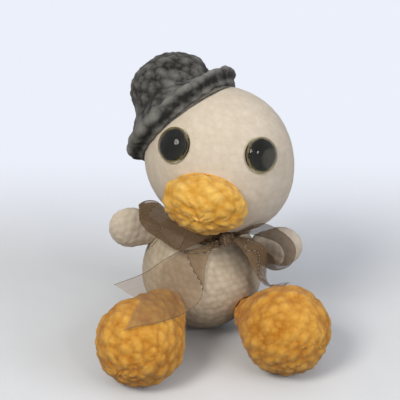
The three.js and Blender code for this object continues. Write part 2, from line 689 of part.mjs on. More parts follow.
function wingPieces(side) {
	const root = wingRoots[side];
	const wing = limbFrame(root, radians(WINGS[side].rise));
	const part = (...size) => limbSolid(WING_ROOT_RADIUS, WING_TIP_RADIUS, wingReach, ...size);
	const outer = part(0, WING_ROOT_RADIUS / 2).scale([WING_FLATTEN, 1, 1]);
	const flat = (WING_TIP_RADIUS * WING_FLATTEN - TRIM_COVER) / (WING_TIP_RADIUS - TRIM_COVER);
	const opened = rod(WING_ROOT_RADIUS / 2, -WING_ROOT_RADIUS, 0).scale([flat, 1, 1]);
	const inner = part(TRIM_COVER, WING_ROOT_RADIUS / 4).scale([flat, 1, 1]);
	const core = (WING_TIP_RADIUS * WING_FLATTEN - TRIM_COVER - GAP) / (WING_TIP_RADIUS - TRIM_COVER - GAP);
	const filling = part(TRIM_COVER + GAP, WING_ROOT_RADIUS / 4).scale([core, 1, 1]);
	wing.add(meshOf(`wing_${side}_cover`, outer.subtract(inner).subtract(opened), material.cream));
	wing.add(meshOf(`wing_${side}_stuffing`, filling, material.stuffing));
	const clear = THREAD + WING_SLACK;
	const height = seamHeight(WING_ROOT_RADIUS);
	const tall = Math.sqrt((WING_ROOT_RADIUS + clear) ** 2 - height ** 2);
	const wide = Math.sqrt(WING_ROOT_RADIUS ** 2 - height ** 2) * WING_FLATTEN + clear;
	const ring = seam(wide, tall, STITCHES.wing, () => -height);
	root.add(meshOf(`wing_${side}_stitches`, solid(ring), material.cream));
}

const legAxes = {};

function legPieces(side) {
	const { root: narrow, foot } = LEGS[side];
	const root = legRoots[side];
	const reach = LEG_LENGTH - narrow - foot;
	const leg = limbFrame(root, Math.asin((foot - REST_FLAT - root.position.z) / reach));
	const part = (...size) => limbSolid(narrow, foot, reach, ...size);
	const opened = rod(narrow / 2, -narrow, 0);
	const cover = part(0, narrow / 2).subtract(part(COVER, narrow / 4)).subtract(opened);
	const ground = carried(table, duck, leg);
	leg.add(meshOf(`leg_${side}_cover`, cover.subtract(ground), material.leg));
	leg.add(meshOf(`leg_${side}_stuffing`, part(COVER + GAP, narrow / 4), material.stuffing));
	const height = seamHeight(narrow);
	const radius = Math.sqrt((narrow + THREAD + GAP) ** 2 - height ** 2);
	const ring = seam(radius, radius, STITCHES.leg, () => -height);
	root.add(meshOf(`leg_${side}_stitches`, solid(ring), material.leg));
	legAxes[side] = { start: leg.localToWorld(new V3()), end: leg.localToWorld(new V3(0, 0, reach)) };
}

const bandOutside = BAND_RADIUS + BAND_THICKNESS;
const knotReach = bandOutside + GAP + KNOT_RADIUS;
const knotPlace = neck.localToWorld(new V3(
	knotReach * Math.sin(radians(KNOT_TURN)),
	-knotReach * Math.cos(radians(KNOT_TURN)),
	KNOT_RISE,
));

// The ribbon lies against these forms: the head, the body as rounds about its bent axis, the band
// round the neck, the knot, and each leg's two balls in one skin. Each function moves a point that
// is nearer to its form than the clearance out to that clearance.
function offHead(p) {
	const out = head.worldToLocal(p.clone());
	const least = headReach(out.clone().normalize()) + RIBBON_CLEAR;
	if (out.length() < least) p.copy(head.localToWorld(out.setLength(least)));
}

function offBody(p) {
	const height = THREE.MathUtils.clamp(p.z, 0, BODY_RIM_Z);
	const axis = new V3(0, 0, height);
	leant(axis);
	const out = new V3(p.x - axis.x, p.y - axis.y, 0);
	const least = bodyRadius(height) + RIBBON_CLEAR;
	if (p.z < BODY_RIM_Z && out.length() < least) p.add(out.setLength(least - out.length()));
}

function offBand(p) {
	const out = neck.worldToLocal(p.clone());
	const height = out.z;
	const least = bandOutside + RIBBON_CLEAR;
	out.z = 0;
	if (Math.abs(height) > BAND_SIDE || out.length() > least) return;
	p.copy(neck.localToWorld(out.setLength(least).setZ(height)));
}

function offKnot(p) {
	const out = p.clone().sub(knotPlace);
	const least = KNOT_RADIUS + RIBBON_CLEAR;
	if (out.length() < least) p.copy(knotPlace).add(out.setLength(least));
}

function offLeg(p, side) {
	const { root: narrow, foot } = LEGS[side];
	const { start, end } = legAxes[side];
	const length = start.distanceTo(end);
	const axis = end.clone().sub(start).normalize();
	const along = p.clone().sub(start).dot(axis);
	const beside = p.distanceTo(start.clone().addScaledVector(axis, along));
	const taper = Math.tan(Math.asin((foot - narrow) / length));
	const share = THREE.MathUtils.clamp((along + beside * taper) / length, 0, 1);
	const near = start.clone().lerp(end, share);
	const out = p.clone().sub(near);
	const least = narrow + (foot - narrow) * share + RIBBON_CLEAR;
	if (out.length() < least) p.copy(near).add(out.setLength(least));
}

// A strip of ribbon through its rows: a grid of points along and across it, moved off the forms
// that it lies on, with half the thickness to each side along the grid's own normals.
// notch is the depth of a fishtail end, as a share of the length.
function strip(rows, notch, along, across) {
	const edges = [0, 1].map((side) => new THREE.CatmullRomCurve3(rows.map((row) => row[side])));
	const middle = [];
	for (let i = 0; i <= along; i += 1) {
		for (let j = 0; j <= across; j += 1) {
			const side = j / across;
			const t = i / along * (1 - notch * (1 - Math.abs(2 * side - 1)));
			const p = edges[0].getPoint(t).lerp(edges[1].getPoint(t), side);
			offHead(p);
			offBody(p);
			offBand(p);
			offKnot(p);
			offLeg(p, 'left');
			offLeg(p, 'right');
			middle.push(p);
		}
	}
	const at = (i, j) => middle[
		THREE.MathUtils.clamp(i, 0, along) * (across + 1) + THREE.MathUtils.clamp(j, 0, across)
	];
	const place = [];
	for (const half of [RIBBON_THICKNESS / 2, -RIBBON_THICKNESS / 2]) {
		for (let i = 0; i <= along; i += 1) {
			for (let j = 0; j <= across; j += 1) {
				const lengthwise = at(i + 1, j).clone().sub(at(i - 1, j));
				const crosswise = at(i, j + 1).clone().sub(at(i, j - 1));
				const normal = lengthwise.cross(crosswise).normalize();
				place.push(...at(i, j).clone().addScaledVector(normal, half).toArray());
			}
		}
	}
	const back = middle.length;
	const index = [];
	const quad = (a, b, c, d) => index.push(a, b, c, a, c, d);
	for (let i = 0; i < along; i += 1) {
		for (let j = 0; j < across; j += 1) {
			const a = i * (across + 1) + j;
			const b = a + across + 1;
			quad(a, b, b + 1, a + 1);
			quad(back + a, back + a + 1, back + b + 1, back + b);
		}
		const first = i * (across + 1);
		const last = first + across;
		quad(first, back + first, back + first + across + 1, first + across + 1);
		quad(last, last + across + 1, back + last + across + 1, back + last);
	}
	for (let j = 0; j < across; j += 1) {
		const end = along * (across + 1) + j;
		quad(j, j + 1, back + j + 1, back + j);
		quad(end, back + end, back + end + 1, end + 1);
	}
	const geometry = new THREE.BufferGeometry();
	geometry.setAttribute('position', new THREE.Float32BufferAttribute(place, 3));
	geometry.setIndex(index);
	return solid(geometry);
}

function ribbonPieces() {
	const bulge = bandOutside - BAND_THICKNESS / 5;
	const band = turned([
		[BAND_RADIUS, -1],
		[bulge, -1],
		[bandOutside, 0],
		[bulge, 1],
		[BAND_RADIUS, 1],
		[BAND_RADIUS, -1],
	], ROUND_SMALL);
	const filled = shaped(band, (p) => {
		if (p.z > 0) p.z = headUnderside(p.x, p.y) - BAND_CLEAR;
		if (p.z < 0) p.z = bodyTop(Math.hypot(p.x, p.y)) - neckRise + BAND_CLEAR;
	});
	neck.add(meshOf('ribbon_neckband', solid(filled), material.ribbon));
	duck.add(meshOf('ribbon_knot', ball(KNOT_RADIUS, knotPlace, ROUND_CORE), material.ribbon));
	const from = (place, rows) => rows.map((row) => row.map((edge) => new V3(...edge).add(place)));
	for (const side of ['left', 'right']) {
		const loop = strip(from(knotPlace, LOOP_ROWS[side]), 0, 4 * ARC_STEPS, 3);
		duck.add(meshOf(`ribbon_loop_${side}`, loop, material.ribbon));
		const { knot, foot } = TAIL_ROWS[side];
		const rows = [...from(knotPlace, knot), ...from(legAxes[side].end, foot)];
		const tail = strip(rows, FISHTAIL, 3 * ARC_STEPS, 4);
		duck.add(meshOf(`ribbon_tail_${side}`, tail, material.ribbon));
	}
}

bodyPieces();
neckPieces();
headPieces();
beakPieces();
hatPieces();
for (const side of ['left', 'right']) {
	eyePieces(side);
	wingPieces(side);
	legPieces(side);
}
ribbonPieces();

export default duck;
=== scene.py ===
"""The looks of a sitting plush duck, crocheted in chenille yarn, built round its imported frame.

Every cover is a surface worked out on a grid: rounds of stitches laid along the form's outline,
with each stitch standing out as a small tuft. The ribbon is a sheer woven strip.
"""

import json
from math import pi, sqrt

import bpy
import numpy as np
from bpy.props import FloatProperty, FloatVectorProperty, IntProperty, PointerProperty
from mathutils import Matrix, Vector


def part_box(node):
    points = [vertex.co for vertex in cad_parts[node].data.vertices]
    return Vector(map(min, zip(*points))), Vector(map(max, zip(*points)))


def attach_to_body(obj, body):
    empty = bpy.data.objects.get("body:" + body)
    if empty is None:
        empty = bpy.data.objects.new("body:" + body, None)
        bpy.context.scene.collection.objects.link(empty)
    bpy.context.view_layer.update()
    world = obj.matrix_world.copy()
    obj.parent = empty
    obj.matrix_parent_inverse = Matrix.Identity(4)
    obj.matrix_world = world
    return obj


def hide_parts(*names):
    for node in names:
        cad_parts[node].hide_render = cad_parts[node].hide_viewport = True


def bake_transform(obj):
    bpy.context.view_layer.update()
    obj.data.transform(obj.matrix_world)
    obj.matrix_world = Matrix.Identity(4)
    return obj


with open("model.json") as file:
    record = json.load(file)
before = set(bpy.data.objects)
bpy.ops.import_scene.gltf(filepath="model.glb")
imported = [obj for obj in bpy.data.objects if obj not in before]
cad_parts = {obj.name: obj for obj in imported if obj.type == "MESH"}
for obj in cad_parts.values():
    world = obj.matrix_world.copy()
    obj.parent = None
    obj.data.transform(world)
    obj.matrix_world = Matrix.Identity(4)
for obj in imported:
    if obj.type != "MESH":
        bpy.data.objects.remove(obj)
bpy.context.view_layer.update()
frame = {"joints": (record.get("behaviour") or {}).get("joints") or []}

bl_info = {
    "name": "Crocheted Plush Duck",
    "version": (1, 0, 0),
    "blender": (4, 5, 0),
    "location": "View3D > Sidebar > Plush Duck",
    "description": "Builds a crocheted duck with a hat, safety eyes and a sheer ribbon",
    "category": "Add Mesh",
}

MM = 0.001
SIDES = ("left", "right")

# Fits shared by the pieces, in metres
GAP = 0.3 * MM  # between pieces that touch
COVER = 3.2 * MM  # thickness of a crocheted cover
TRIM_COVER = 2.6 * MM  # thickness of the beak's and the wings' covers
REST_FLAT = 0.5 * MM  # how far the weight flattens what rests on the floor
NECK_STITCH = 4 * MM  # thickness of the neck's seam
NECK_BALL = 8.4 * MM  # radius of the neck's filling
SEAT_DIMPLE = 1.5 * MM  # how deep a limb's root sits in the body
THREAD = 0.6 * MM  # radius of the sewing yarn
TRIM_THREAD = 0.5 * MM  # its radius at beak and hat
WING_SLACK = 0.6 * MM  # from a wing to its seam
SEAM_PULL = 0.7 * MM  # how far a seam is drawn into its crease
HIDDEN_PULL = 1.5 * MM  # how far where the pile hides it
SEAM_SPREAD = 0.8  # radius of a limb's seam over that of its root
KNOT_TURN = 25  # degrees from the neck's front to the ribbon's knot
RIBBON_POINTS = 61  # points across the ribbon
FOLD_ROUND = 0.985  # how sharp the ribbon's folds are, 1 being a crease
TAIL_SPLIT = 0.42  # share of a tail's length at which it passes from the body to the leg
STITCH_TOP = 0.85  # the part of a stitch's height at which a cover keeps its outline
UNEVEN = ((7 * MM, 0.35), (2.2 * MM, 0.3), (1.1 * MM, 0.2))  # size and share of lumps, tufts and pile
SEAM_STEPS, SEAM_ROUND = 16, 14  # points along each stitch of a seam, and round its yarn

# Heights above the floor at which limbs are sewn on
LEG_SEAT = {"left": 20 * MM, "right": 25 * MM}
WING_SEAT = {"left": 43 * MM, "right": 45.5 * MM}

# Where the pieces are sewn, in degrees round and up from the head's front
EYES = {"left": (33.1, 30.3), "right": (-46.41, 24.7)}
BEAK_WAY = (-9, -7.2)
HAT_WAY = (-126, 27.8)

# Rows across each stretch of ribbon, as (edge, other edge) from the knot outwards. Each point is
# (x, y, z) in millimetres from the knot's middle or, in the foot rows, from the foot's middle.
LOOP_ROWS = {
    "left": [
        [[3.4, -3.5, 5.7], [2.6, -0.5, 3]], [[9.4, -8.5, 10.5], [9.4, 7.5, -1.4]],
        [[16.1, -10.5, 13.5], [16.1, 9, -3.8]], [[27.6, -12, 6.8], [24.4, 9, -7.5]],
        [[30.4, -12, 0.7], [27.3, 9, -12.5]], [[28.7, -11.5, -6.4], [27.2, 9, -16.9]],
        [[23.4, -8, -11.6], [25.3, 9, -19.4]], [[17.6, 1, -14.9], [21.3, 8.5, -13.4]],
        [[6.7, 1.5, -1], [8.3, 4, -1.1]],
    ],
    "right": [
        [[-6.6, -2, 2.3], [-7.5, -2, 5.4]], [[-16.7, -4.5, -1.7], [-22, -3.5, 14.5]],
        [[-22.4, -4.5, -3.8], [-28.3, -3, 18]], [[-30.8, -2.5, 0.8], [-32.4, -0.5, 20]],
        [[-37.8, 1, 4.3], [-37.1, 2.5, 18.7]], [[-41, 5.5, 7.7], [-40.8, 6.5, 14.3]],
        [[-34, 7.5, 4], [-34, 8, 15]], [[-22, 6, 0], [-22, 5.5, 12]],
        [[-7, 1, 0], [-7.5, 1, 3]],
    ],
}
TAIL_ROWS = {
    "left": {
        "knot": [
            [[1.1, -3.5, 2.2], [5.3, -1.5, 1.6]], [[5.3, -6.5, -0.8], [11, -3.5, 1.5]],
            [[8.6, -8, -4.6], [17.1, -3, -2.4]], [[12, -8, -12.3], [18, -1, -12.7]],
            [[17.4, -4.5, -22.2], [19, 2, -24.6]],
        ],
        "foot": [
            [[-4.6, 11.8, 15.2], [-3.1, 20.8, 8.7]], [[2.1, 5.8, 20.8], [4.1, 19.8, 10.4]],
        ],
    },
    "right": {
        "knot": [
            [[-2.2, -2.5, -0.6], [-4.5, -2.5, 0.7]], [[-6.6, -2, -4], [-14.8, -1, -4.5]],
            [[-10, -5, -12.9], [-21.3, 0, -6.2]], [[-10.5, -8.5, -19.8], [-27.9, 1, -10.6]],
            [[-12.5, -12.5, -25.6], [-33, -1, -13.2]],
        ],
        "foot": [
            [[18, 3, 11.9], [2.5, 23.5, 23]], [[9.5, -9, 16.3], [-2.2, 18, 23.6]],
            [[-0.3, -13, 16.8], [-7.3, 12.5, 24.6]], [[-6.3, -14, 15.3], [-12.1, 9.5, 24.3]],
        ],
    },
}
FISHTAIL = 0.2  # depth of the notch in a tail's end, over its length
BAND_SIDE = 7.2 * MM  # half the height that the band takes up


def linear(code):
    """The linear colour of an sRGB hex code."""
    parts = [int(code[i:i + 2], 16) / 255 for i in (1, 3, 5)]
    return [p / 12.92 if p <= 0.04045 else ((p + 0.055) / 1.055) ** 2.4 for p in parts]


def length(name, millimetres):
    """A length that a user may change."""
    return FloatProperty(name=name, default=millimetres * MM, min=0, unit="LENGTH", precision=4)


def colour(name, code):
    """A colour that a user may change."""
    return FloatVectorProperty(name=name, default=linear(code), subtype="COLOR", size=3, min=0, max=1)


def rotation(name, degrees):
    """An angle that a user may change."""
    return FloatProperty(name=name, default=np.radians(degrees), subtype="ANGLE", unit="ROTATION")


def count(name, number):
    """A whole number that a user may change."""
    return IntProperty(name=name, default=number, min=3)


class DuckYarn(bpy.types.PropertyGroup):
    """The chenille yarn and its stitches."""
    row: length("Height of one round of stitches", 3.7)
    stitch: length("Width of one stitch", 3.9)
    grid: length("Distance between the mesh's points", 0.55)
    cream: colour("Yarn of head and wings", "#dccfbc")
    # A darker copy of the cream yarn: painted shade where the head shades the body.
    body: colour("Yarn of the body, darkened as painted shade", "#d1c3ad")
    grey: colour("Yarn of the hat", "#66645f")
    yellow: colour("Yarn of the beak", "#e5b659")
    orange: colour("Yarn of the feet", "#d79f43")


class DuckBody(bpy.types.PropertyGroup):
    """The body."""
    radius: length("Radius at its widest", 29.4)
    widest: length("Height of its widest round", 26.5)
    rim: length("Height of its neck rim", 55.1)
    neck: length("Radius of the neck's rim", 12)
    relief: length("How far its stitches stand out", 0.35)
    stitches: count("Stitches in the neck's seam", 14)


class DuckHead(bpy.types.PropertyGroup):
    """The head."""
    radius: length("Radius round its own axis", 34.2)
    half_height: length("Half of its height", 32.6)
    swell: length("How far its left cheek sags out", 4)
    relief: length("How far its stitches stand out", 0.12)


class DuckEyes(bpy.types.PropertyGroup):
    """The safety eyes."""
    radius: length("Radius of the clear lens", 8)
    edge: length("Thickness of the lens at its rim", 1.3)
    dome: length("Height of the dome above its rim", 4.6)
    sink: length("How deep the eye lies in the fabric", 1.3)
    wall: length("Clear ring round the pupil", 1.5)
    pupil: length("Thickness of the black disc", 1)
    post: length("Radius of the post behind the pupil", 2.4)
    post_length: length("Length of that post", 10.5)
    ridge: length("Height of the ridges that the washer locks on", 0.35)
    washer_radius: length("Radius of the washer", 6.4)
    washer_thickness: length("Thickness of the washer", 1.6)
    clear: colour("Tint of the clear lens", "#c9c4ab")
    black: colour("Moulded pupil", "#040403")
    washer: colour("Washer behind the fabric", "#e9e7e0")


class DuckBeak(bpy.types.PropertyGroup):
    """The beak."""
    half_width: length("Half of its width", 18.6)
    half_height: length("Half of its height", 13.4)
    reach: length("How far it stands out of the head", 15)
    overhang: length("From the head out to its widest round", 2)
    root: length("How deep its sides run on into the head", 11.5)
    relief: length("How far its stitches stand out", 1.0)
    stitches: count("Stitches in its seam", 16)


class DuckHat(bpy.types.PropertyGroup):
    """The hat."""
    rim: length("Radius where it is sewn on", 26.81)
    ridge: length("Radius of the brim's outer edge", 30.81)
    ridge_rise: length("From the sewn edge to the ridge", 5.5)
    crease: length("Radius between brim and crown", 18.8)
    crease_rise: length("From the ridge to the crease", 9)
    crown: length("Radius of the crown", 18.6)
    crown_foot: length("From the crease to the crown's widest round", 4.6)
    crown_rise: length("From the crown's widest round to its top", 14)
    slouch: rotation("Angle that the crown leans", 17)
    slouch_way: rotation("Which way round it leans", 140)
    relief: length("How far its stitches stand out", 0.85)
    stitches: count("Stitches in its seam", 18)


class DuckLimbs(bpy.types.PropertyGroup):
    """Wings and legs."""
    wing_root: length("Radius of a wing's narrow end", 7)
    wing_tip: length("Radius of a wing's wide end", 10.2)
    wing_length: length("Length of a wing", 25.2)
    wing_flat: FloatProperty(name="Thickness of a wing over its width", default=0.62, min=0.1, max=1)
    leg_length: length("Length of a leg", 50.6)
    left_root: length("Radius of the left leg's root", 9.5)
    left_foot: length("Radius of the left foot", 20.6)
    right_root: length("Radius of the right leg's root", 11.5)
    right_foot: length("Radius of the right foot", 20.1)
    wing_relief: length("How far a wing's stitches stand out", 0.45)
    leg_relief: length("How far a leg's stitches stand out", 0.9)
    wing_stitches: count("Stitches in a wing's seam", 8)
    leg_stitches: count("Stitches in a leg's seam", 10)


class DuckRibbon(bpy.types.PropertyGroup):
    """The sheer ribbon."""
    width: length("Width of the ribbon", 25)
    band: length("Inside radius of the band round the neck", 15.2)
    band_thickness: length("Thickness of the gathered band", 2.6)
    knot: length("Radius of the knot", 3.6)
    knot_rise: length("Height of the knot above the neck's seam", 1.6)
    clear: length("From the ribbon to what it lies on", 0.85)
    layer: length("From one folded layer to the next", 0.35)
    taupe: colour("Colour of its threads", "#9a7f60")
    bead: colour("Colour of the loops along its edge", "#d6cfc4")


class DuckStage(bpy.types.PropertyGroup):
    """Floor, lights and camera."""
    distance: length("From the camera to the duck", 480)
    aim: length("Height that the camera looks at", 65.8)
    lens: FloatProperty(name="Focal length", default=90.9, min=10, unit="CAMERA")
    elevation: rotation("Angle that the camera looks down", 27)
    floor: colour("Painted floor", "#dfe1e3")
    wall: colour("Backdrop as the camera sees it", "#ecf0fa")


class DuckSettings(bpy.types.PropertyGroup):
    """All settings of the duck."""
    yarn: PointerProperty(type=DuckYarn)
    body: PointerProperty(type=DuckBody)
    head: PointerProperty(type=DuckHead)
    eyes: PointerProperty(type=DuckEyes)
    beak: PointerProperty(type=DuckBeak)
    hat: PointerProperty(type=DuckHat)
    limbs: PointerProperty(type=DuckLimbs)
    ribbon: PointerProperty(type=DuckRibbon)
    stage: PointerProperty(type=DuckStage)


def settings():
    """The scene's duck settings."""
    return bpy.context.scene.plush_duck


# Directions and places

def unit(vectors):
    """Each vector over its own length."""
    return vectors / np.maximum(np.linalg.norm(vectors, axis=-1, keepdims=True), 1e-12)


def turned(axis, angle):
    """The rotation matrix about x, y or z by an angle: the two other axes turn into each other."""
    c, s = np.cos(angle), np.sin(angle)
    first, second = {"x": (1, 2), "y": (2, 0), "z": (0, 1)}[axis]
    matrix = np.eye(3)
    matrix[first, first] = matrix[second, second] = c
    matrix[second, first] = s
    matrix[first, second] = -s
    return matrix


JOINTS = {joint["name"]: joint for joint in frame["joints"]}


def joint_place(name):
    """Where a joint turns."""
    return np.array(JOINTS[name]["pos_m"], float)


def joint_axis(name):
    """The unit axis that a joint turns about."""
    return unit(np.array(JOINTS[name]["axis"], float))


class Place:
    """A frame: an origin and three unit axes, which are the columns of a matrix."""

    def __init__(self, origin, axes):
        self.origin = np.asarray(origin, float)
        self.axes = np.asarray(axes, float)

    def out(self, points):
        """Points of this frame, seen from the duck's: the origin plus each coordinate times its axis."""
        return self.origin + points @ self.axes.T

    def into(self, points):
        """Points of the duck's frame, seen from this one."""
        return (points - self.origin) @ self.axes


NECK = Place(joint_place("neck_turn"),
             np.stack([joint_axis("neck_nod"), joint_axis("neck_tilt"), joint_axis("neck_turn")], 1))
LEAN = np.arctan2(NECK.axes[0, 2], NECK.axes[2, 2])
NOD = np.arcsin(-NECK.axes[1, 2])


def body_upper():
    """Height of the ellipse that the body follows above its widest round."""
    body = settings().body
    return (body.rim - body.widest) / sqrt(1 - (body.neck / body.radius) ** 2)


def hat_foot():
    """Height over the head's centre at which the hat is sewn on."""
    head, hat = settings().head, settings().hat
    return sqrt((head.radius + GAP) ** 2 - hat.rim ** 2)


def head_place():
    """The head's frame: its centre lies on the neck's axis, as high as its rim lets it."""
    head, body = settings().head, settings().body
    rise = NECK_STITCH / 2 + GAP + head.half_height * np.sqrt(1 - (body.neck / head.radius) ** 2)
    return Place(NECK.origin + rise * NECK.axes[:, 2], NECK.axes)


def way_place(turn, rise):
    """A frame at the head's centre whose z axis points out, turn degrees round and rise degrees up."""
    head = head_place()
    axes = head.axes @ turned("z", np.radians(turn)) @ turned("x", np.radians(90 - rise))
    return Place(head.origin, axes)


def limb_place(joint, rise):
    """A limb's frame at its joint: x along the joint's axis reversed, z out along the limb."""
    x = -joint_axis(joint)
    flat = np.array([x[1], -x[0], 0])
    z = flat * np.cos(rise) + np.array([0, 0, np.sin(rise)])
    return Place(joint_place(joint), np.stack([x, np.cross(z, x), z], 1))


def leg_place(side):
    """A leg's frame, its reach between its two round ends, and the radii of both."""
    limbs = settings().limbs
    root, foot = getattr(limbs, side + "_root"), getattr(limbs, side + "_foot")
    reach = limbs.leg_length - root - foot
    start = joint_place(f"leg_{side}_lift")
    rise = np.arcsin((foot - REST_FLAT - start[2]) / reach)
    return limb_place(f"leg_{side}_lift", rise), reach, root, foot


WING_RISE = {"left": np.radians(-5), "right": np.radians(18)}


def leant(points):
    """The body's bend: with t from 0 at its widest round to 1 at the neck, a point turns by t times
    the head's lean and nod, and moves sideways by half their tangents times t squared."""
    body = settings().body
    bend = NECK.origin[2] - body.widest
    t = np.maximum(0, (points[..., 2] - body.widest) / bend)
    lean, nod = LEAN * t, NOD * t
    x, y, z = np.moveaxis(points, -1, 0)
    return np.stack([
        x * np.cos(lean) + y * np.sin(nod) * np.sin(lean) + np.tan(LEAN) / 2 * bend * t * t,
        y * np.cos(nod) - np.tan(NOD) / 2 * bend * t * t,
        z - x * np.sin(lean) + y * np.sin(nod) * np.cos(lean),
    ], -1)


CHEEK_TURN, CHEEK_DROP = np.radians(66), np.radians(38)
CHEEK_WAY = np.array([
    np.sin(CHEEK_TURN) * np.cos(CHEEK_DROP),
    -np.cos(CHEEK_TURN) * np.cos(CHEEK_DROP),
    -np.sin(CHEEK_DROP),
])


def cheek_swell(ways):
    """How far the head's round is swollen along unit vectors: the fourth power of the cosine to the
    cheek's middle, fading out towards the neck's rim."""
    head, body = settings().head, settings().body
    beside = np.hypot(ways[..., 0], ways[..., 1]) * head.radius / body.neck - 1
    share = np.clip(beside, 0, 1) * np.maximum(0, ways @ CHEEK_WAY) ** 4
    return 1 + head.swell / head.radius * share


def head_reach(ways, depth=0):
    """Distance from the head's centre to its ellipsoid along unit vectors, swollen at the cheek."""
    head = settings().head
    across = np.hypot(ways[..., 0], ways[..., 1]) / (head.radius - depth)
    up = ways[..., 2] / (head.half_height - depth)
    return cheek_swell(ways) / np.hypot(across, up)


def over_head(place, x, y, clear, depth=0):
    """Height in a frame at the head's centre of a clearance over the head's skin above (x, y)."""
    flat = x * x + y * y
    ways = unit(np.stack([x, y, np.sqrt((settings().head.radius - depth) ** 2 - flat)], -1))
    reach = head_reach(ways @ place.axes.T @ head_place().axes, depth) + clear
    return np.sqrt(reach ** 2 - flat)


# Noise and stitches

def hashed(*numbers):
    """A repeatable number from 0 to 1 for each set of whole numbers, by mixing their bits."""
    key = np.int64(0x9E3779B9)
    for number in numbers:
        key = (key ^ np.asarray(number).astype(np.int64)) * 2246822519 & 0xFFFFFFFF
        key = key ^ key >> 15
    key = key * 3266489917 & 0xFFFFFFFF
    return (key ^ key >> 16) / 2.0 ** 32


def noise(points, size, seed):
    """Smooth noise from -1 to 1: each corner of a lattice has a hashed number, and a point mixes the
    eight corners round it with weights 3t^2 - 2t^3."""
    place = points / size
    cell = np.floor(place).astype(np.int64)
    t = place - cell
    t = t * t * (3 - 2 * t)
    total = 0
    for sides in np.ndindex(2, 2, 2):
        step = np.array(sides)
        weight = np.prod(np.where(step == 1, t, 1 - t), axis=-1)
        total = total + weight * hashed(*np.moveaxis(cell + step, -1, 0), seed)
    return 2 * total - 1


TUFT = 0.6  # half the width of a stitch's tuft of pile, in stitches
STITCH_SLANT = 0.3  # how far a stitch leans sideways over its height
LEAST_STITCHES = 6  # in the smallest round, at a form's end


def stitches(turn, along, around, wander, seed):
    """Height and tint of crochet stitches on a grid. The distance along the form over the row height
    gives the row, and the turn times the row's number of stitches gives the stitch. Each stitch is a
    tuft, a bell curve about its own middle, which wanders off the regular one. Where tufts meet the
    highest counts, which leaves creases between them and a small hole where several meet."""
    yarn = settings().yarn
    place = along[:, None] / yarn.row + 0.5 * wander * noise(revolved(2, 0, turn), 1, seed)
    height, tint = np.zeros(place.shape), np.zeros(place.shape)
    for up in (-1, 0, 1):
        row = np.floor(place) + up
        number = np.round(np.interp((row + 0.5) * yarn.row, along, around) / yarn.stitch)
        number = np.maximum(LEAST_STITCHES, number)
        y = place - row - 0.5
        for beside in (-1, 0, 1):
            across = turn * number + hashed(row, seed)
            stitch = np.floor(across) + beside
            own = (row, stitch % number, seed)
            size = 1 + wander * (hashed(*own, 1) - 0.5)
            off_x, off_y = wander * (hashed(*own, 2) - 0.5), wander * (hashed(*own, 3) - 0.5)
            x = across - stitch - 0.5 + STITCH_SLANT * y
            tuft = size * np.exp(-((x - off_x) ** 2 + (y - off_y) ** 2) / (TUFT * size) ** 2)
            tint = np.where(tuft > height, hashed(*own, 4), tint)
            height = np.maximum(height, tuft)
    return height, tint


# Outlines, each from one pole to the other as (radius, height) pairs

def arc(radius, height, centre, start, end, steps=40):
    """Points on an ellipse about (0, centre), between two angles in degrees above the horizontal."""
    angle = np.radians(np.linspace(start, end, steps))
    return np.stack([radius * np.cos(angle), centre + height * np.sin(angle)], -1)


def joined(*parts):
    """One outline from several, in order."""
    return np.concatenate([np.atleast_2d(part) for part in parts])


def curve(points, share):
    """A smooth curve through points, where share from 0 to 1 counts the stretches evenly: in each
    stretch a cubic whose end slopes come from the neighbouring points, weighted by the roots of their
    distances."""
    points = np.asarray(points, float)
    held = joined(2 * points[0] - points[1], points, 2 * points[-1] - points[-2])
    place = np.clip(share, 0, 1) * (len(points) - 1)
    first = np.clip(np.floor(place).astype(int), 0, len(points) - 2)
    t = (place - first)[..., None]
    a, b, c, d = (held[first + i] for i in range(4))
    ab, bc, cd = (np.sqrt(np.linalg.norm(q - p, axis=-1, keepdims=True))
                  for p, q in ((a, b), (b, c), (c, d)))
    start = ((b - a) / ab - (c - a) / (ab + bc) + (c - b) / bc) * bc
    end = ((c - b) / bc - (d - b) / (bc + cd) + (d - c) / cd) * bc
    return b + start * t + (3 * (c - b) - 2 * start - end) * t ** 2 + (2 * (b - c) + start + end) * t ** 3


def body_outline(depth=0):
    """The body: a half ellipse below its widest round and part of another above it, up to the neck."""
    body, upper = settings().body, body_upper() - depth
    radius, neck = body.radius - depth, body.neck - depth
    lower = body.widest + REST_FLAT - depth
    end = np.degrees(np.arccos(neck / radius))
    return joined(
        arc(radius, lower, body.widest, -90, 0),
        arc(radius, upper, body.widest, 0, end)[1:],
        (0, body.widest + upper * np.sin(np.radians(end))),
    )


def head_outline(depth=0):
    """The head: an ellipse from the neck's rim to the top, with the rim closed flat."""
    head, body = settings().head, settings().body
    radius, neck = head.radius - depth, body.neck - depth
    start = -np.degrees(np.arccos(neck / radius))
    rim = arc(radius, head.half_height - depth, 0, start, 90, 90)
    return joined((0, rim[0, 1]), rim)


def beak_outline(depth=0):
    """The beak: part of an ellipse drawing in towards its root, and a half one out to its tip."""
    head, beak = settings().head, settings().beak
    widest = head.radius + beak.overhang
    high = beak.half_height - depth
    root = arc(high, beak.root, widest, -50, 0)
    tip = arc(high, beak.reach - beak.overhang - depth, widest, 0, 90)
    return joined((0, root[0, 1]), root, tip[1:])


def hat_outline(depth=0):
    """The hat: sewn edge, rolled ridge of the brim, crease, and crown, as one smooth curve."""
    hat, rim = settings().hat, hat_foot()
    ridge = rim + hat.ridge_rise
    crease = ridge + hat.crease_rise
    crown = arc(hat.crown - depth, hat.crown_rise - depth, crease + hat.crown_foot, 0, 90, 6)
    down = 0.5 * depth
    points = joined(
        (hat.rim - depth, rim + depth),
        (hat.ridge - depth, ridge - 2 * MM),
        (hat.ridge - depth, ridge - down),
        ((hat.ridge + hat.crease) / 2 - depth, ridge + 0.4 * hat.crease_rise - down),
        (hat.crease - depth, crease - down),
        crown,
    )
    smooth = curve(points, np.linspace(0, 1, 160))
    return joined((0, smooth[0, 1]), smooth)


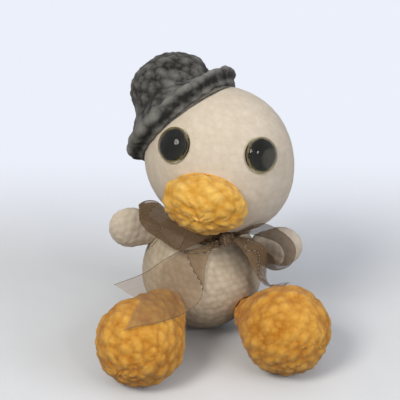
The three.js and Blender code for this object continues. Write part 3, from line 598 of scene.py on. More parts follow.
def corner(x, z, rounding, upper, steps=6):
    """A quarter round inside an outer corner at (x, z), which is the upper or the lower one."""
    centre, start = (z - rounding, 0) if upper else (z + rounding, -90)
    return arc(rounding, rounding, centre, start, start + 90, steps) + (x - rounding, 0)


def drop_outline(narrow, wide, reach, depth=0):
    """A teardrop: two balls in one skin, the narrow one at 0 and the wide one at reach."""
    narrow, wide = narrow - depth, wide - depth
    tangent = np.degrees(np.arccos((narrow - wide) / reach))
    return joined(
        arc(narrow, narrow, 0, -90, 90 - tangent),
        arc(wide, wide, reach, 90 - tangent, 90, 60),
    )


# Meshes

def revolved(radius, height, turn):
    """Points of a radius and a height, turned about the z axis by turns from 0 to 1."""
    x, y = radius * np.cos(2 * pi * turn), radius * np.sin(2 * pi * turn)
    return np.stack(np.broadcast_arrays(x, y, height), -1)


def steps_along(points):
    """Distances along a line of points from its first one."""
    return np.append(0, np.cumsum(np.linalg.norm(np.diff(points, axis=0), axis=-1)))


def normals_of(points):
    """Unit normals of a closed grid: the difference round crossed with the difference along."""
    around = np.roll(points, -1, axis=1) - np.roll(points, 1, axis=1)
    return unit(np.cross(around, np.gradient(points, axis=0)))


def new_mesh(name, points, faces, finish, values=None, uv=None):
    """An object at the origin from points and faces, shaded smooth, with point values as attributes."""
    mesh = bpy.data.meshes.new(name)
    mesh.from_pydata(points.reshape(-1, 3).tolist(), [], faces)
    mesh.validate()
    mesh.polygons.foreach_set("use_smooth", np.ones(len(mesh.polygons), bool))
    for key, data in (values or {}).items():
        layer = mesh.attributes.new(key, "FLOAT", "POINT")
        layer.data.foreach_set("value", np.asarray(data, np.float32).ravel())
    if uv is not None:
        corners = np.empty(len(mesh.loops), np.int32)
        mesh.loops.foreach_get("vertex_index", corners)
        layer = mesh.uv_layers.new(name="UVMap")
        layer.uv.foreach_set("vector", uv.reshape(-1, 2)[corners].astype(np.float32).ravel())
    mesh.materials.append(finish)
    made = bpy.data.objects.new(name, mesh)
    bpy.context.scene.collection.objects.link(made)
    return made


def grid_faces(grid, round_closed, along_closed):
    """The corners of each face of a grid [along, round], which may close on itself either way."""
    index = np.arange(grid[..., 0].size).reshape(grid.shape[:2])
    index = np.pad(index, ((0, along_closed), (0, round_closed)), mode="wrap")
    return np.stack([index[:-1, :-1], index[:-1, 1:], index[1:, 1:], index[1:, :-1]], -1).reshape(-1, 4)


def closed_round(name, grid, finish, values=None):
    """A closed form from a grid [along, round]: the rounds close on themselves, and a fan of triangles
    about the middle of the first and last round closes each end."""
    along, around, _ = grid.shape
    start = np.arange(around)
    end = start + (along - 1) * around
    first = np.stack([0 * start + along * around, np.roll(start, -1), start], -1)
    last = np.stack([0 * start + along * around + 1, end, np.roll(end, -1)], -1)
    points = joined(grid.reshape(-1, 3), grid[0].mean(0), grid[-1].mean(0))
    held = {key: np.append(data.ravel(), [data[0].mean(), data[-1].mean()])
            for key, data in (values or {}).items()}
    faces = grid_faces(grid, 1, 0).tolist() + first.tolist() + last.tolist()
    return new_mesh(name, points, faces, finish, held)


def closed_ring(name, grid, finish, values=None):
    """A closed ring from a grid that closes on itself both ways."""
    return new_mesh(name, grid, grid_faces(grid, 1, 1).tolist(), finish, values)


def open_strip(name, grid, finish, uv=None):
    """An open strip from a grid [along, across]."""
    return new_mesh(name, grid, grid_faces(grid, 0, 0)[:, (0, 3, 2, 1)].tolist(), finish, uv=uv)


MOULDED_TURNS = 96  # points round a moulded piece
SHARP = np.radians(40)  # edges bent further than this stay sharp


def moulded(name, outline, place, finish, ring=False):
    """A moulded piece: an outline of (radius, height) pairs turned about a frame's z axis. It is closed
    at both ends by a flat cap, or as a ring closes on itself."""
    grid = revolved(outline[:, :1], outline[:, 1:], np.arange(MOULDED_TURNS) / MOULDED_TURNS)
    piece = (closed_ring if ring else closed_round)(name, place.out(grid), finish)
    piece.data.set_sharp_from_angle(angle=SHARP)
    return piece


def ring_grid(outline, spacing, around=None):
    """A surface of revolution about z: distances along the outline, turns from 0 to 1, and points."""
    lengths = steps_along(outline)
    steps = max(8, int(lengths[-1] / spacing))
    along = (np.arange(steps) + 0.5) / steps * lengths[-1]
    radius, height = (np.interp(along, lengths, outline[:, side])[:, None] for side in (0, 1))
    turns = around or int(2 * pi * radius.max() / spacing)
    turn = np.arange(turns) / turns
    return along, turn, revolved(radius, height, turn)


def crocheted(part, rider, form, look, yarn, seed, fit=None, roll=None):
    """A crocheted cover. The form is an outline that turns about z, and the shape that bends it into
    place. Then the stitches and the yarn's pile move each point along the surface's normal, as far as
    the look's relief says, and fit keeps it off its neighbours. The look is (relief, wander of the
    stitches, unevenness). A roll, in millimetres for each distance along the outline, is added to the
    surface and to the stitch relief that sets the yarn's colour: painted light where it stands out and
    painted shade where it dips. That relief also paints shade in the creases between the stitches."""
    (outline, shape), (relief, wander, uneven) = form, look
    along, turn, points = ring_grid(outline, settings().yarn.grid)
    base = shape(points)
    around = np.linalg.norm(np.roll(base, -1, axis=1) - base, axis=-1).sum(1)
    height, tint = stitches(turn, along, around, wander, seed)
    pile = sum(share * noise(base, size, seed + step) for step, (size, share) in enumerate(UNEVEN))
    out = relief * (height - STITCH_TOP + uneven * pile)
    if roll:
        rolled = roll(along)[:, None]
        out = out + rolled * MM
        # Painted light and shade: the roll also raises or lowers the relief that the yarn's colour follows.
        height = height + rolled
    grid = base + normals_of(base) * out[..., None]
    if fit:
        grid = fit(grid)
    grid[..., 2] = np.maximum(grid[..., 2], 0)
    finish, slot = yarn_finish(yarn)
    # The stitch relief goes to the colour, which paints shade in the creases between stitches.
    piece = closed_round(part, grid, finish, {"relief": height, "tint": tint})
    return attach(piece, rider, slot, f"{part}_cover")


def pushed(points, near, least):
    """Moves each point that is nearer to a place than the least distance straight out to it."""
    out = points - near
    distance = np.linalg.norm(out, axis=-1, keepdims=True)
    return np.where(distance < least, near + unit(out) * least, points)


def off_head(points, clear=GAP):
    """Moves points of the head and near it straight out to a clearance over its skin."""
    place = head_place()
    return pushed(points, place.origin, head_reach(unit(place.into(points)))[..., None] + clear)


def off_body(points, clear):
    """Moves points sideways out to a clearance over the body, taken as rounds about its bent axis."""
    body = settings().body
    height = np.clip(points[..., 2], 0, body.rim)
    axis = leant(np.stack([0 * height, 0 * height, height], -1))[..., :2]
    share = (height - body.widest) / np.where(height > body.widest, body_upper(), body.widest + REST_FLAT)
    flat = pushed(points[..., :2], axis, (body.radius * np.sqrt(1 - share ** 2))[..., None] + clear)
    return np.where(points[..., 2:] < body.rim, np.concatenate([flat, points[..., 2:]], -1), points)


def off_band(points, clear):
    """Moves points beside the band round the neck out to a clearance over it."""
    ribbon, local = settings().ribbon, NECK.into(points)
    flat = pushed(local[..., :2], 0, ribbon.band + ribbon.band_thickness + clear)
    moved = NECK.out(np.concatenate([flat, local[..., 2:]], -1))
    return np.where(np.abs(local[..., 2:]) <= BAND_SIDE, moved, points)


def off_leg(points, side, clear):
    """Moves points straight out to a clearance over a leg's two balls in one skin."""
    place, reach, root, foot = leg_place(side)
    local = place.into(points)
    beside = np.hypot(local[..., 0], local[..., 1])
    taper = np.tan(np.arcsin((foot - root) / reach))
    share = np.clip((local[..., 2] + beside * taper) / reach, 0, 1)[..., None]
    near = place.out(share * reach * np.array([0, 0, 1]))
    return pushed(points, near, root + (foot - root) * share + clear)


def attach(piece, body, slot, *nodes):
    """Lets a piece ride on a body, if one is given, and stand for CAD nodes. The slot is not used."""
    if body:
        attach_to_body(piece, body)
    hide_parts(*nodes)
    return piece


# Materials

def feed(tree, node, inputs):
    """Sets or links a node's inputs by name or number."""
    for key, value in inputs.items():
        if isinstance(value, bpy.types.NodeSocket):
            tree.links.new(value, node.inputs[key])
        else:
            node.inputs[key].default_value = value


def add(tree, kind, inputs=None, options=None):
    """Adds a node of a kind, sets its options and feeds its inputs."""
    node = tree.nodes.new("ShaderNode" + kind)
    for key, value in (options or {}).items():
        setattr(node, key, value)
    feed(tree, node, inputs or {})
    return node


def reckoned(tree, operation, first, second=0.0, third=0.0):
    """The result of an operation on up to three numbers."""
    return add(tree, "Math", {0: first, 1: second, 2: third}, {"operation": operation}).outputs[0]


def grains(tree, size, detail, distortion=0.0):
    """Noise from 0 to 1 on the object's coordinates, in grains of a size."""
    place = add(tree, "TexCoord").outputs["Object"]
    return add(tree, "TexNoise", {"Vector": place, "Scale": 1 / size, "Detail": detail,
                                  "Distortion": distortion}).outputs["Fac"]


def ranged(tree, value, start, end, least=0.0, most=1.0, options=None):
    """A number that goes from least to most while the value goes from start to end."""
    return add(tree, "MapRange", {0: value, 1: start, 2: end, 3: least, 4: most}, options).outputs[0]


def blended(tree, share, first, second):
    """A colour between two, and past the second where the share is above 1."""
    options = {"data_type": "RGBA", "clamp_factor": False}
    return add(tree, "Mix", {0: share, 6: first, 7: second}, options).outputs[2]


def bumped(tree, strength, distance, height):
    """The normal of a surface that stands out by a distance where the height is 1."""
    return add(tree, "Bump", {"Strength": strength, "Distance": distance, "Height": height}).outputs[0]


def seen_rays(tree):
    """1 for camera, glossy and transmission rays, and 0 for the rays that carry light."""
    rays = add(tree, "LightPath").outputs
    mirrored = reckoned(tree, "MAXIMUM", rays["Is Glossy Ray"], rays["Is Transmission Ray"])
    return reckoned(tree, "MAXIMUM", rays["Is Camera Ray"], mirrored)


def finish_of(name, build, *details):
    """A material by name, made at its first use from the shader inputs that build gives."""
    material = bpy.data.materials.get(name)
    if not material:
        material = bpy.data.materials.new(name)
        material.use_nodes = True
        tree = material.node_tree
        feed(tree, tree.nodes["Principled BSDF"], build(tree, *details))
    return material


def shaded(base, share=1):
    """A colour at a share of its lightness, as four numbers for a node."""
    return (*[part * share for part in base], 1)


def chenille(tree, base, deep, painted_crease_shade, mottle):
    """Chenille yarn: cut polyester pile on a twisted core, dead matt. Shade in the creases between the
    stitches is painted into its colour: there each part of the colour is raised to the power 1.5, times
    deep. The third number says how far the creases darken, and mottle how much tufts and patches vary."""
    relief, tint = (add(tree, "Attribute", options={"attribute_name": key}).outputs["Fac"]
                    for key in ("relief", "tint"))
    patches, clumps, tufts = grains(tree, 3.5 * MM, 2), grains(tree, 1.4 * MM, 3), grains(tree, 0.5 * MM, 2)
    # Painted shade: the colour darkens where the stitch relief is low, in the creases.
    level = ranged(tree, relief, 0.25, 1.0, 0.75 - painted_crease_shade, 0.75, {"clamp": False})
    for source, weight in ((tint, 0.8), (patches, 1.8), (clumps, 1.8)):
        off = reckoned(tree, "SUBTRACT", source, 0.5)
        level = reckoned(tree, "MULTIPLY_ADD", off, weight * mottle, level)
    held = add(tree, "Clamp", {"Value": level, "Min": 0.0, "Max": 1.6}).outputs[0]
    crease_shade_colour = shaded([part ** 1.5 for part in base], deep)
    return {
        "Base Color": blended(tree, held, crease_shade_colour, shaded(base)),
        "Normal": bumped(tree, 0.5, 0.3 * MM, tufts),
        "Roughness": 1.0, "Specular IOR Level": 0.1, "Sheen Weight": 0.15, "Sheen Roughness": 0.6}


def clear_acrylic(tree, tint):
    """Clear acrylic, moulded and tumbled: glossy, and slightly yellowed."""
    haze = grains(tree, 3 * MM, 3)
    return {
        "Base Color": blended(tree, haze, shaded(tint, 0.94), shaded(tint)),
        "Roughness": ranged(tree, haze, 0, 1, 0.01, 0.03), "Transmission Weight": 1.0, "IOR": 1.3}


def moulded_plastic(tree, base, specular):
    """Moulded plastic with a faint grain in its gloss, and as strong a reflection as specular says."""
    grain = grains(tree, 0.8 * MM, 4)
    return {
        "Base Color": blended(tree, grain, shaded(base, 0.9), shaded(base, 1.1)),
        "Roughness": ranged(tree, grain, 0, 1, 0.4, 0.6), "Specular IOR Level": specular}


def fibre_filling(tree):
    """Polyester fibre filling: white, matt tangled fibres that let some light through."""
    tangle = grains(tree, 1.5 * MM, 6, 2.5)
    return {
        "Base Color": blended(tree, tangle, shaded(linear("#d9d7d1")), shaded(linear("#f6f5f1"))),
        "Normal": bumped(tree, 0.8, 0.5 * MM, tangle), "Roughness": 1.0}


WEAVE = 0.45  # millimetres between threads, twice the real pitch, which would be too fine to show
BEAD = 1.6  # millimetres between the loops of weft that turn round the edge
EDGE = 1.0  # millimetres of the close woven edge


def organza(tree, least, share):
    """Polyester organza ribbon: a sheer plain weave of stiff, shiny threads with a close woven edge.
    The threads cover at least that part of what lies behind, more where a thick thread streaks its
    length, and share is their lightness. The UV map gives millimetres across in x, from edge to edge,
    and along in y."""
    ribbon = settings().ribbon
    half = ribbon.width / MM / 2
    place = add(tree, "UVMap").outputs["UV"]
    across, along, _ = add(tree, "SeparateXYZ", {0: place}).outputs

    def math(operation, *numbers):
        return reckoned(tree, operation, *numbers)

    def wave(distance, pitch):
        """A sine wave of a pitch along a distance."""
        return math("SINE", math("MULTIPLY", distance, 2 * pi / pitch))

    weave = math("MULTIPLY_ADD", math("ADD", wave(across, WEAVE), wave(along, WEAVE)), 0.25, 0.5)
    streaks = add(tree, "Mapping", {"Vector": place, "Scale": (1.1, 0.035, 1)}).outputs[0]
    streak = add(tree, "TexNoise", {"Vector": streaks, "Scale": 1.0, "Detail": 3}).outputs["Fac"]
    middle = math("ABSOLUTE", math("SUBTRACT", across, half))
    edge = ranged(tree, middle, half - EDGE, half - 0.8 * EDGE)
    bead = math("GREATER_THAN", wave(along, BEAD), 0.2)
    beaded = math("MULTIPLY", math("GREATER_THAN", middle, half - EDGE / 3), bead)
    cover = math("ADD", math("MULTIPLY_ADD", weave, 0.14, least), math("MULTIPLY", streak, 0.2))
    alpha = add(tree, "Mix", {0: edge, 2: cover, 3: 0.96}, {"data_type": "FLOAT"}).outputs[0]
    threads = blended(tree, streak, shaded(ribbon.taupe, 0.8 * share), shaded(ribbon.taupe, 1.2 * share))
    edged = blended(tree, edge, threads, shaded(ribbon.taupe, 0.35))
    return {
        "Alpha": alpha, "Base Color": blended(tree, beaded, edged, shaded(ribbon.bead)),
        "Normal": bumped(tree, 0.25, 0.1 * MM, weave), "Roughness": 0.5, "Specular IOR Level": 0.12}


def knotted_organza(tree, taupe):
    """The same organza drawn tight in many layers, so that nothing shows through. Dark wavy bands on
    it are painted shade in its folds.
    """
    place = add(tree, "TexCoord").outputs["Object"]
    # Painted shade: bands where the folds lie, down to half the colour.
    folds = add(tree, "TexWave", {
        "Vector": place, "Scale": 1 / (3 * MM), "Distortion": 3.0, "Detail": 2.0},
        {"bands_direction": "DIAGONAL"}).outputs["Fac"]
    return {
        "Base Color": blended(tree, folds, shaded(taupe, 0.5), shaded(taupe)),
        "Roughness": 0.5, "Sheen Weight": 0.3}


def painted_board(tree, paint):
    """Matt painted board with a faint grain, a sixtieth of a metre wide. It bounces a quarter of the
    light that camera, glossy and transmission rays see."""
    tone = blended(tree, grains(tree, 1 / 60, 4), shaded(paint, 0.97), shaded(paint, 1.03))
    return {"Base Color": blended(tree, seen_rays(tree), shaded(paint, 0.25), tone), "Roughness": 0.8}


def ribbon_finish(gathered):
    """The organza in one layer, or gathered, with its threads pushed together so that they hide more of
    what lies behind. The gathered threads are also darker: painted shade on the band and loops under the
    head and between their layers.
    """
    if gathered:
        return finish_of("Gathered woven organza", organza, 0.5, 0.62)
    return finish_of("Sheer woven organza", organza, 0.23, 1)


def yarn_finish(kind):
    """The chenille of one colour, and the slot that it fills."""
    yarn = settings().yarn
    slot, name, *recipe = {
        # The body's yarn is that darker copy, with stronger crease shade: painted shade from the head over
        # it.
        "cream": ("cream_yarn", "Cream chenille yarn", yarn.body, 0.75, 0.42, 0.25),
        "brushed": ("cream_yarn", "Brushed cream chenille yarn", yarn.cream, 0.85, 0.15, 0.25),
        "grey": ("hat_yarn", "Grey chenille yarn", yarn.grey, 0.35, 0.75, 0.55),
        "yellow": ("beak_yarn", "Yellow chenille yarn", yarn.yellow, 0.85, 0.6, 0.6),
        "orange": ("foot_yarn", "Orange chenille yarn", yarn.orange, 0.8, 0.5, 0.5),
    }[kind]
    return finish_of(name, chenille, *recipe), slot


# Forms: an outline at a depth under the skin, and the shape that bends it into place

def head_shape(points):
    """The head swollen at its cheek and set on the neck."""
    return head_place().out(points * cheek_swell(unit(points))[..., None])


def beak_form(depth=0):
    """The beak, stretched to its width and set on the head."""
    beak, place = settings().beak, way_place(*BEAK_WAY)
    stretch = np.array([(beak.half_width - depth) / (beak.half_height - depth), 1, 1])
    return beak_outline(depth), lambda points: place.out(points * stretch)


def slouched(points):
    """The hat's lean: above its ridge a point moves sideways by its height times the slouch's tangent,
    and rounds tip by the same angle, fully so from the crease up."""
    hat = settings().hat
    way = np.array([np.cos(hat.slouch_way), np.sin(hat.slouch_way)])
    slope = np.tan(hat.slouch)
    rise = np.maximum(0, points[..., 2:] - hat_foot() - hat.ridge_rise)
    side = (points[..., :2] @ way)[..., None]
    share = np.minimum(1, rise / hat.crease_rise)
    return np.concatenate([points[..., :2] + rise * slope * way, points[..., 2:] - side * slope * share], -1)


def hat_form(depth=0):
    """The hat, slouched and set on the head."""
    place = way_place(*HAT_WAY)
    return hat_outline(depth), lambda points: place.out(slouched(points))


def wing_form(side, depth=0):
    """A wing, flattened and set at its joint."""
    limbs, place = settings().limbs, limb_place(f"wing_{side}_flap", WING_RISE[side])
    reach = limbs.wing_length - limbs.wing_root - limbs.wing_tip
    flat = np.array([(limbs.wing_tip * limbs.wing_flat - depth) / (limbs.wing_tip - depth), 1, 1])
    outline = drop_outline(limbs.wing_root, limbs.wing_tip, reach, depth)
    return outline, lambda points: place.out(points * flat)


def leg_form(side, depth=0):
    """A leg, set at its joint."""
    place, reach, root, foot = leg_place(side)
    return drop_outline(root, foot, reach, depth), place.out


# Operators

class DUCK_OT_body(bpy.types.Operator):
    """Crochet the body"""
    bl_idname = "duck.body"
    bl_label = "Body"

    def execute(self, context):
        limbs = settings().limbs
        dents = [(joint_place(f"leg_{side}_lift"), getattr(limbs, side + "_root")) for side in SIDES]
        dents += [(joint_place(f"wing_{side}_flap"), limbs.wing_root * 0.8) for side in SIDES]

        def shape(points):
            """The bent body, dented where limbs sit in it."""
            bent = leant(points)
            for place, radius in dents:
                bent = pushed(bent, place, radius + GAP)
            return bent

        look = (settings().body.relief, 0.35, 0.7)
        piece = crocheted("body", "torso", (body_outline(), shape), look, "cream", 11)
        return {"FINISHED"}


def pressed(points, place, seat, radius):
    """Presses a form flat under a disc: inside its radius a point's height along a frame's axis is at
    most the seat, and outside it that limit rises with the square of the distance."""
    rise, spread, reach = 0.5 * MM, 0.7 * MM, 4 * MM
    local = place.into(points)
    beside = np.hypot(local[..., 0], local[..., 1]) - radius
    limit = seat + rise * (np.maximum(beside, 0) / spread) ** 2
    reached = (local[..., 2] > 0) & (beside < reach)
    local[..., 2] = np.where(reached, np.minimum(local[..., 2], limit), local[..., 2])
    return place.out(local)


def eye_seat(side):
    """An eye's frame at the head's centre, and the height along it of the lens's back."""
    place = way_place(*EYES[side])
    return place, over_head(place, np.zeros(1), np.zeros(1), -settings().eyes.sink)[0]


def under_eyes(points, depth, radius):
    """Presses the head flat behind each eye, at a depth behind the lens's back."""
    for side in SIDES:
        place, seat = eye_seat(side)
        points = pressed(points, place, seat - depth, radius)
    return points


class DUCK_OT_head(bpy.types.Operator):
    """Crochet the head, pressed in where the eyes sit"""
    bl_idname = "duck.head"
    bl_label = "Head"

    def execute(self, context):
        def seated(points):
            """The head pressed flat under both lenses."""
            return under_eyes(points, 0.1 * MM, settings().eyes.radius)

        form = head_outline(), lambda points: seated(head_shape(points))
        look = (settings().head.relief, 0.35, 0.9)
        piece = crocheted("head", "head", form, look, "brushed", 23, seated)
        return {"FINISHED"}


class DUCK_OT_eyes(bpy.types.Operator):
    """Mould the safety eyes and their washers"""
    bl_idname = "duck.eyes"
    bl_label = "Eyes"

    def execute(self, context):
        eyes = settings().eyes
        clear = finish_of("Clear moulded acrylic", clear_acrylic, eyes.clear)
        black = finish_of("Black moulded plastic", moulded_plastic, eyes.black, 0.0)
        white = finish_of("White moulded plastic", moulded_plastic, eyes.washer, 0.5)
        for side in SIDES:
            place, seat = eye_seat(side)
            base = Place(place.origin + seat * place.axes[:, 2], place.axes)
            low, high = self.washer_ends(side, base)
            pieces = {
                "lens": (self.lens_outline(eyes), clear, "eye_clear", False),
                "pupil": (self.pupil_outline(eyes, high), black, "eye_black", False),
                "washer": (self.washer_outline(eyes, low, high), white, "washer_plastic", True),
            }
            for kind, (outline, finish, slot, ring) in pieces.items():
                piece = moulded(f"eye_{side}_{kind}_moulding", outline, base, finish, ring)
                attach(piece, "head", slot, f"eye_{side}_{kind}")
        return {"FINISHED"}

    def washer_ends(self, side, place):
        """Heights along the eye's axis of the washer's two faces, from the box of its CAD node."""
        low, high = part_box(f"eye_{side}_washer")
        middle = place.into((np.array(low) + np.array(high)) / 2)[2]
        half = settings().eyes.washer_thickness / 2
        return middle - half, middle + half

    def lens_outline(self, eyes):
        """The lens: a recess for the pupil below, a short rim, and half an ellipse for the dome."""
        recess = eyes.radius - eyes.wall
        foot = corner(eyes.radius, 0, 0.25 * MM, False)
        dome = arc(eyes.radius, eyes.dome, eyes.edge, 0, 89, 60)
        return joined((0.5 * MM, eyes.pupil + GAP), (recess, eyes.pupil + GAP), (recess, 0), foot, dome)

    def pupil_outline(self, eyes, washer_front):
        """The pupil: a ridged post below and a flat disc above."""
        pitch = (eyes.post_length + washer_front) / 3
        ridges = joined(*[[(eyes.post, low), (eyes.post + eyes.ridge, low + pitch / 2)]
                          for low in -eyes.post_length + pitch * np.arange(3)])
        disc = eyes.radius - eyes.wall - GAP
        edge = corner(disc, eyes.pupil, 0.2 * MM, True)
        return joined(ridges, (eyes.post, washer_front), (eyes.post, 0), (disc, 0), edge)

    def washer_outline(self, eyes, low, high):
        """The washer: a flat ring with its outer corners rounded."""
        bore = eyes.post + eyes.ridge + GAP
        under, over = (corner(eyes.washer_radius, z, 0.3 * MM, z == high, 5) for z in (low, high))
        return joined((bore, low), under, over, (bore, high))


class DUCK_OT_beak(bpy.types.Operator):
    """Crochet the beak"""
    bl_idname = "duck.beak"
    bl_label = "Beak"

    def execute(self, context):
        look = (settings().beak.relief, 1.0, 1.1)
        piece = crocheted("beak", "head", beak_form(), look, "yellow", 31, off_head)
        return {"FINISHED"}


class DUCK_OT_hat(bpy.types.Operator):
    """Crochet the hat with its rolled brim"""
    bl_idname = "duck.hat"
    bl_label = "Hat"

    def execute(self, context):
        form = hat_form()
        lengths = steps_along(form[0]) / MM
        edge, widest = lengths[1], lengths[form[0][:, 0].argmax()]
        bells = ((1.0, widest + 2.6, 3.0), (-0.6, widest - 2.8, 2.0), (0.6, edge + 0.8, 1.2))

        def roll(along):
            """Bell curves along the outline, each (height, middle, half width) in millimetres: the fold
            stands out, the brim's outer face below it is hollow, and the sewn edge bulges. The same heights
            paint the fold lighter and the hollow darker: painted light and painted shade."""
            return sum(high * np.exp(-((along / MM - middle) / wide) ** 2) for high, middle, wide in bells)

        look = (settings().hat.relief, 0.8, 0.55)
        piece = crocheted("hat", "head", form, look, "grey", 47, off_head, roll)
        return {"FINISHED"}


class DUCK_OT_wings(bpy.types.Operator):
    """Crochet both wings"""
    bl_idname = "duck.wings"
    bl_label = "Wings"

    def execute(self, context):
        look = (settings().limbs.wing_relief, 0.35, 0.8)
        for side in SIDES:
            part = f"wing_{side}"
            piece = crocheted(part, part, wing_form(side), look, "brushed", 53 + len(side))
        return {"FINISHED"}


class DUCK_OT_legs(bpy.types.Operator):
    """Crochet both legs"""
    bl_idname = "duck.legs"
    bl_label = "Legs"

    def execute(self, context):
        look = (settings().limbs.leg_relief, 1.0, 0.9)
        for side in SIDES:
            part = f"leg_{side}"
            piece = crocheted(part, part, leg_form(side), look, "orange", 61 + len(side))
        return {"FINISHED"}


def seam(part, rider, yarn, place, halves, thread, number, lift, pull=SEAM_PULL):
    """An oval ring of sewing yarn. Its middle line runs round the oval, as high as lift says, and is
    pulled in towards the piece it holds. Round that line the yarn's radius swells once for each
    stitch, and two plies wind round it."""
    step, point = np.arange(number * SEAM_STEPS)[:, None], np.arange(SEAM_ROUND)[None, :]
    turn, section = 2 * pi * step / step.size, -2 * pi * point / SEAM_ROUND
    swell = 1 - 0.25 * (1 - np.cos(number * turn)) / 2
    plies = 1 + 0.12 * np.sin(2 * section + 4 * number * turn)
    x, y = (halves[0] - pull) * np.cos(turn), (halves[1] - pull) * np.sin(turn)
    fuzz = 0.08 * thread * (2 * hashed(step, point, number) - 1)
    radius = 0.85 * thread * swell * plies + fuzz
    out, up = radius * np.cos(section), radius * np.sin(section)
    grid = np.stack([x + out * np.cos(turn), y + out * np.sin(turn), lift(x, y) - pull / 2 + up], -1)
    tint = hashed(step // SEAM_STEPS, number) + 0 * section
    finish, slot = yarn_finish(yarn)
    # Painted shade: where the yarn narrows between stitches and plies its relief is lower, so its colour
    # darkens.
    values = {"relief": 0.3 + 0.7 * swell * plies, "tint": tint}
    attach(closed_ring(f"{part}_seam", place.out(grid), finish, values), rider, slot, f"{part}_stitches")


def level(height):
    """A seam's lift that is the same all round."""
    return lambda x, y: height + 0 * x


def skin(place):
    """A seam's lift that follows the head's skin."""
    return lambda x, y: over_head(place, x, y, TRIM_THREAD + GAP)


class DUCK_OT_seams(bpy.types.Operator):
    """Sew the pieces together"""
    bl_idname = "duck.seams"
    bl_label = "Seams"

    def execute(self, context):
        body = settings().body
        seam("neck", "neck_seam", "cream", NECK, (body.neck, body.neck), NECK_STITCH / 2, body.stitches,
             level(0), 0)
        self.sew_beak()
        self.sew_hat()
        for side in SIDES:
            self.sew_wing(side)
            self.sew_leg(side)
        return {"FINISHED"}

    def sew_beak(self):
        """The beak's seam lies beside the oval in which the beak meets the head."""
        head, beak = settings().head, settings().beak
        place, clear = way_place(*BEAK_WAY), TRIM_THREAD + GAP

        def beside(half):
            """How far out the seam lies where the beak is that half wide."""
            sink = head.radius + beak.overhang - over_head(place, np.full(1, half), np.zeros(1), clear)[0]
            return half * sqrt(1 - (sink / beak.root) ** 2) + clear + GAP

        halves = beside(beak.half_width), beside(beak.half_height)
        seam("beak", "head", "yellow", place, halves, TRIM_THREAD, beak.stitches, skin(place), HIDDEN_PULL)

    def sew_hat(self):
        """The hat's seam lies in the corner between brim and head."""
        hat, place = settings().hat, way_place(*HAT_WAY)
        radius = hat.rim + sqrt(2) * (TRIM_THREAD + GAP)
        seam("hat", "head", "grey", place, (radius, radius), TRIM_THREAD, hat.stitches, skin(place),
             HIDDEN_PULL)

    def sew_wing(self, side):
        """A wing's seam lies in its crease with the body."""
        limbs, clear = settings().limbs, THREAD + WING_SLACK
        place, height = root_place(f"wing_{side}_flap", WING_SEAT[side], limbs.wing_root)
        tall = sqrt((limbs.wing_root + clear) ** 2 - height ** 2)
        wide = sqrt(limbs.wing_root ** 2 - height ** 2) * limbs.wing_flat + clear
        seam(f"wing_{side}", "torso", "cream", place, (wide, tall), THREAD, limbs.wing_stitches,
             level(-height))

    def sew_leg(self, side):
        """A leg's seam lies in its crease with the body."""
        limbs = settings().limbs
        narrow = getattr(limbs, side + "_root")
        place, height = root_place(f"leg_{side}_lift", LEG_SEAT[side], narrow)
        radius = sqrt((narrow + THREAD + GAP) ** 2 - height ** 2)
        seam(f"leg_{side}", f"leg_{side}_root", "orange", place, (radius, radius), THREAD,
             limbs.leg_stitches, level(-height), HIDDEN_PULL)


def root_place(joint, seat, narrow):
    """A limb's root frame, square to the body's skin where it is sewn on, and how far below the
    frame's origin its seam lies."""
    body = settings().body
    tall = body_upper() if seat > body.widest else body.widest + REST_FLAT
    radius = body.radius * sqrt(1 - ((seat - body.widest) / tall) ** 2)
    slope = np.arctan2((seat - body.widest) / tall ** 2, radius / body.radius ** 2)
    height = narrow - SEAT_DIMPLE - THREAD - GAP + (SEAM_SPREAD * narrow) ** 2 / (2 * body.radius)
    return limb_place(joint, slope), height


class DUCK_OT_filling(bpy.types.Operator):
    """Stuff every form with fibre"""
    bl_idname = "duck.filling"
    bl_label = "Filling"

    def execute(self, context):
        deep, trim, eyes = COVER + GAP, TRIM_COVER + GAP, settings().eyes

        def plugged(points):
            """Kept off the neck's ball."""
            return pushed(points, NECK.origin, NECK_BALL + GAP)

        def round_posts(points):
            """Kept off the eyes' posts and washers too."""
            return plugged(under_eyes(points, eyes.post_length + GAP, eyes.washer_radius + GAP))

        self.stuff("body", "torso", (body_outline(deep), leant), plugged)
        self.stuff("neck", "neck_core", (arc(NECK_BALL, NECK_BALL, 0, -90, 90), NECK.out))
        self.stuff("head", "head", (head_outline(deep), head_shape), round_posts)
        self.stuff("beak", "head", beak_form(trim), off_head)
        self.stuff("hat", "head", hat_form(deep), off_head)
        for side in SIDES:
            self.stuff(f"wing_{side}", f"wing_{side}", wing_form(side, trim))
            self.stuff(f"leg_{side}", f"leg_{side}", leg_form(side, deep))
        return {"FINISHED"}

    def stuff(self, part, rider, form, fit=lambda points: points):
        """Filling inside a form, drawn in by lumps of smooth noise."""
        outline, shape = form
        spacing, depth = 2.2 * MM, 0.9 * MM
        base = shape(ring_grid(outline, spacing)[2])
        lump = 0.5 + 0.3 * noise(base, 6 * MM, 71) + 0.2 * noise(base, 2.5 * MM, 72)
        grid = fit(base - normals_of(base) * (depth * lump)[..., None])
        grid[..., 2] = np.maximum(grid[..., 2], COVER)
        fibre = finish_of("Polyester fibre filling", fibre_filling)
        piece = closed_round(f"{part}_filling", grid, fibre)
        attach(piece, rider, "stuffing", f"{part}_stuffing")


def knot_place():
    """The middle of the ribbon's knot, in front of the band round the neck."""
    ribbon = settings().ribbon
    reach = ribbon.band + ribbon.band_thickness + GAP + ribbon.knot
    turn = np.radians(KNOT_TURN)
    return NECK.out(np.array([reach * np.sin(turn), -reach * np.cos(turn), ribbon.knot_rise]))


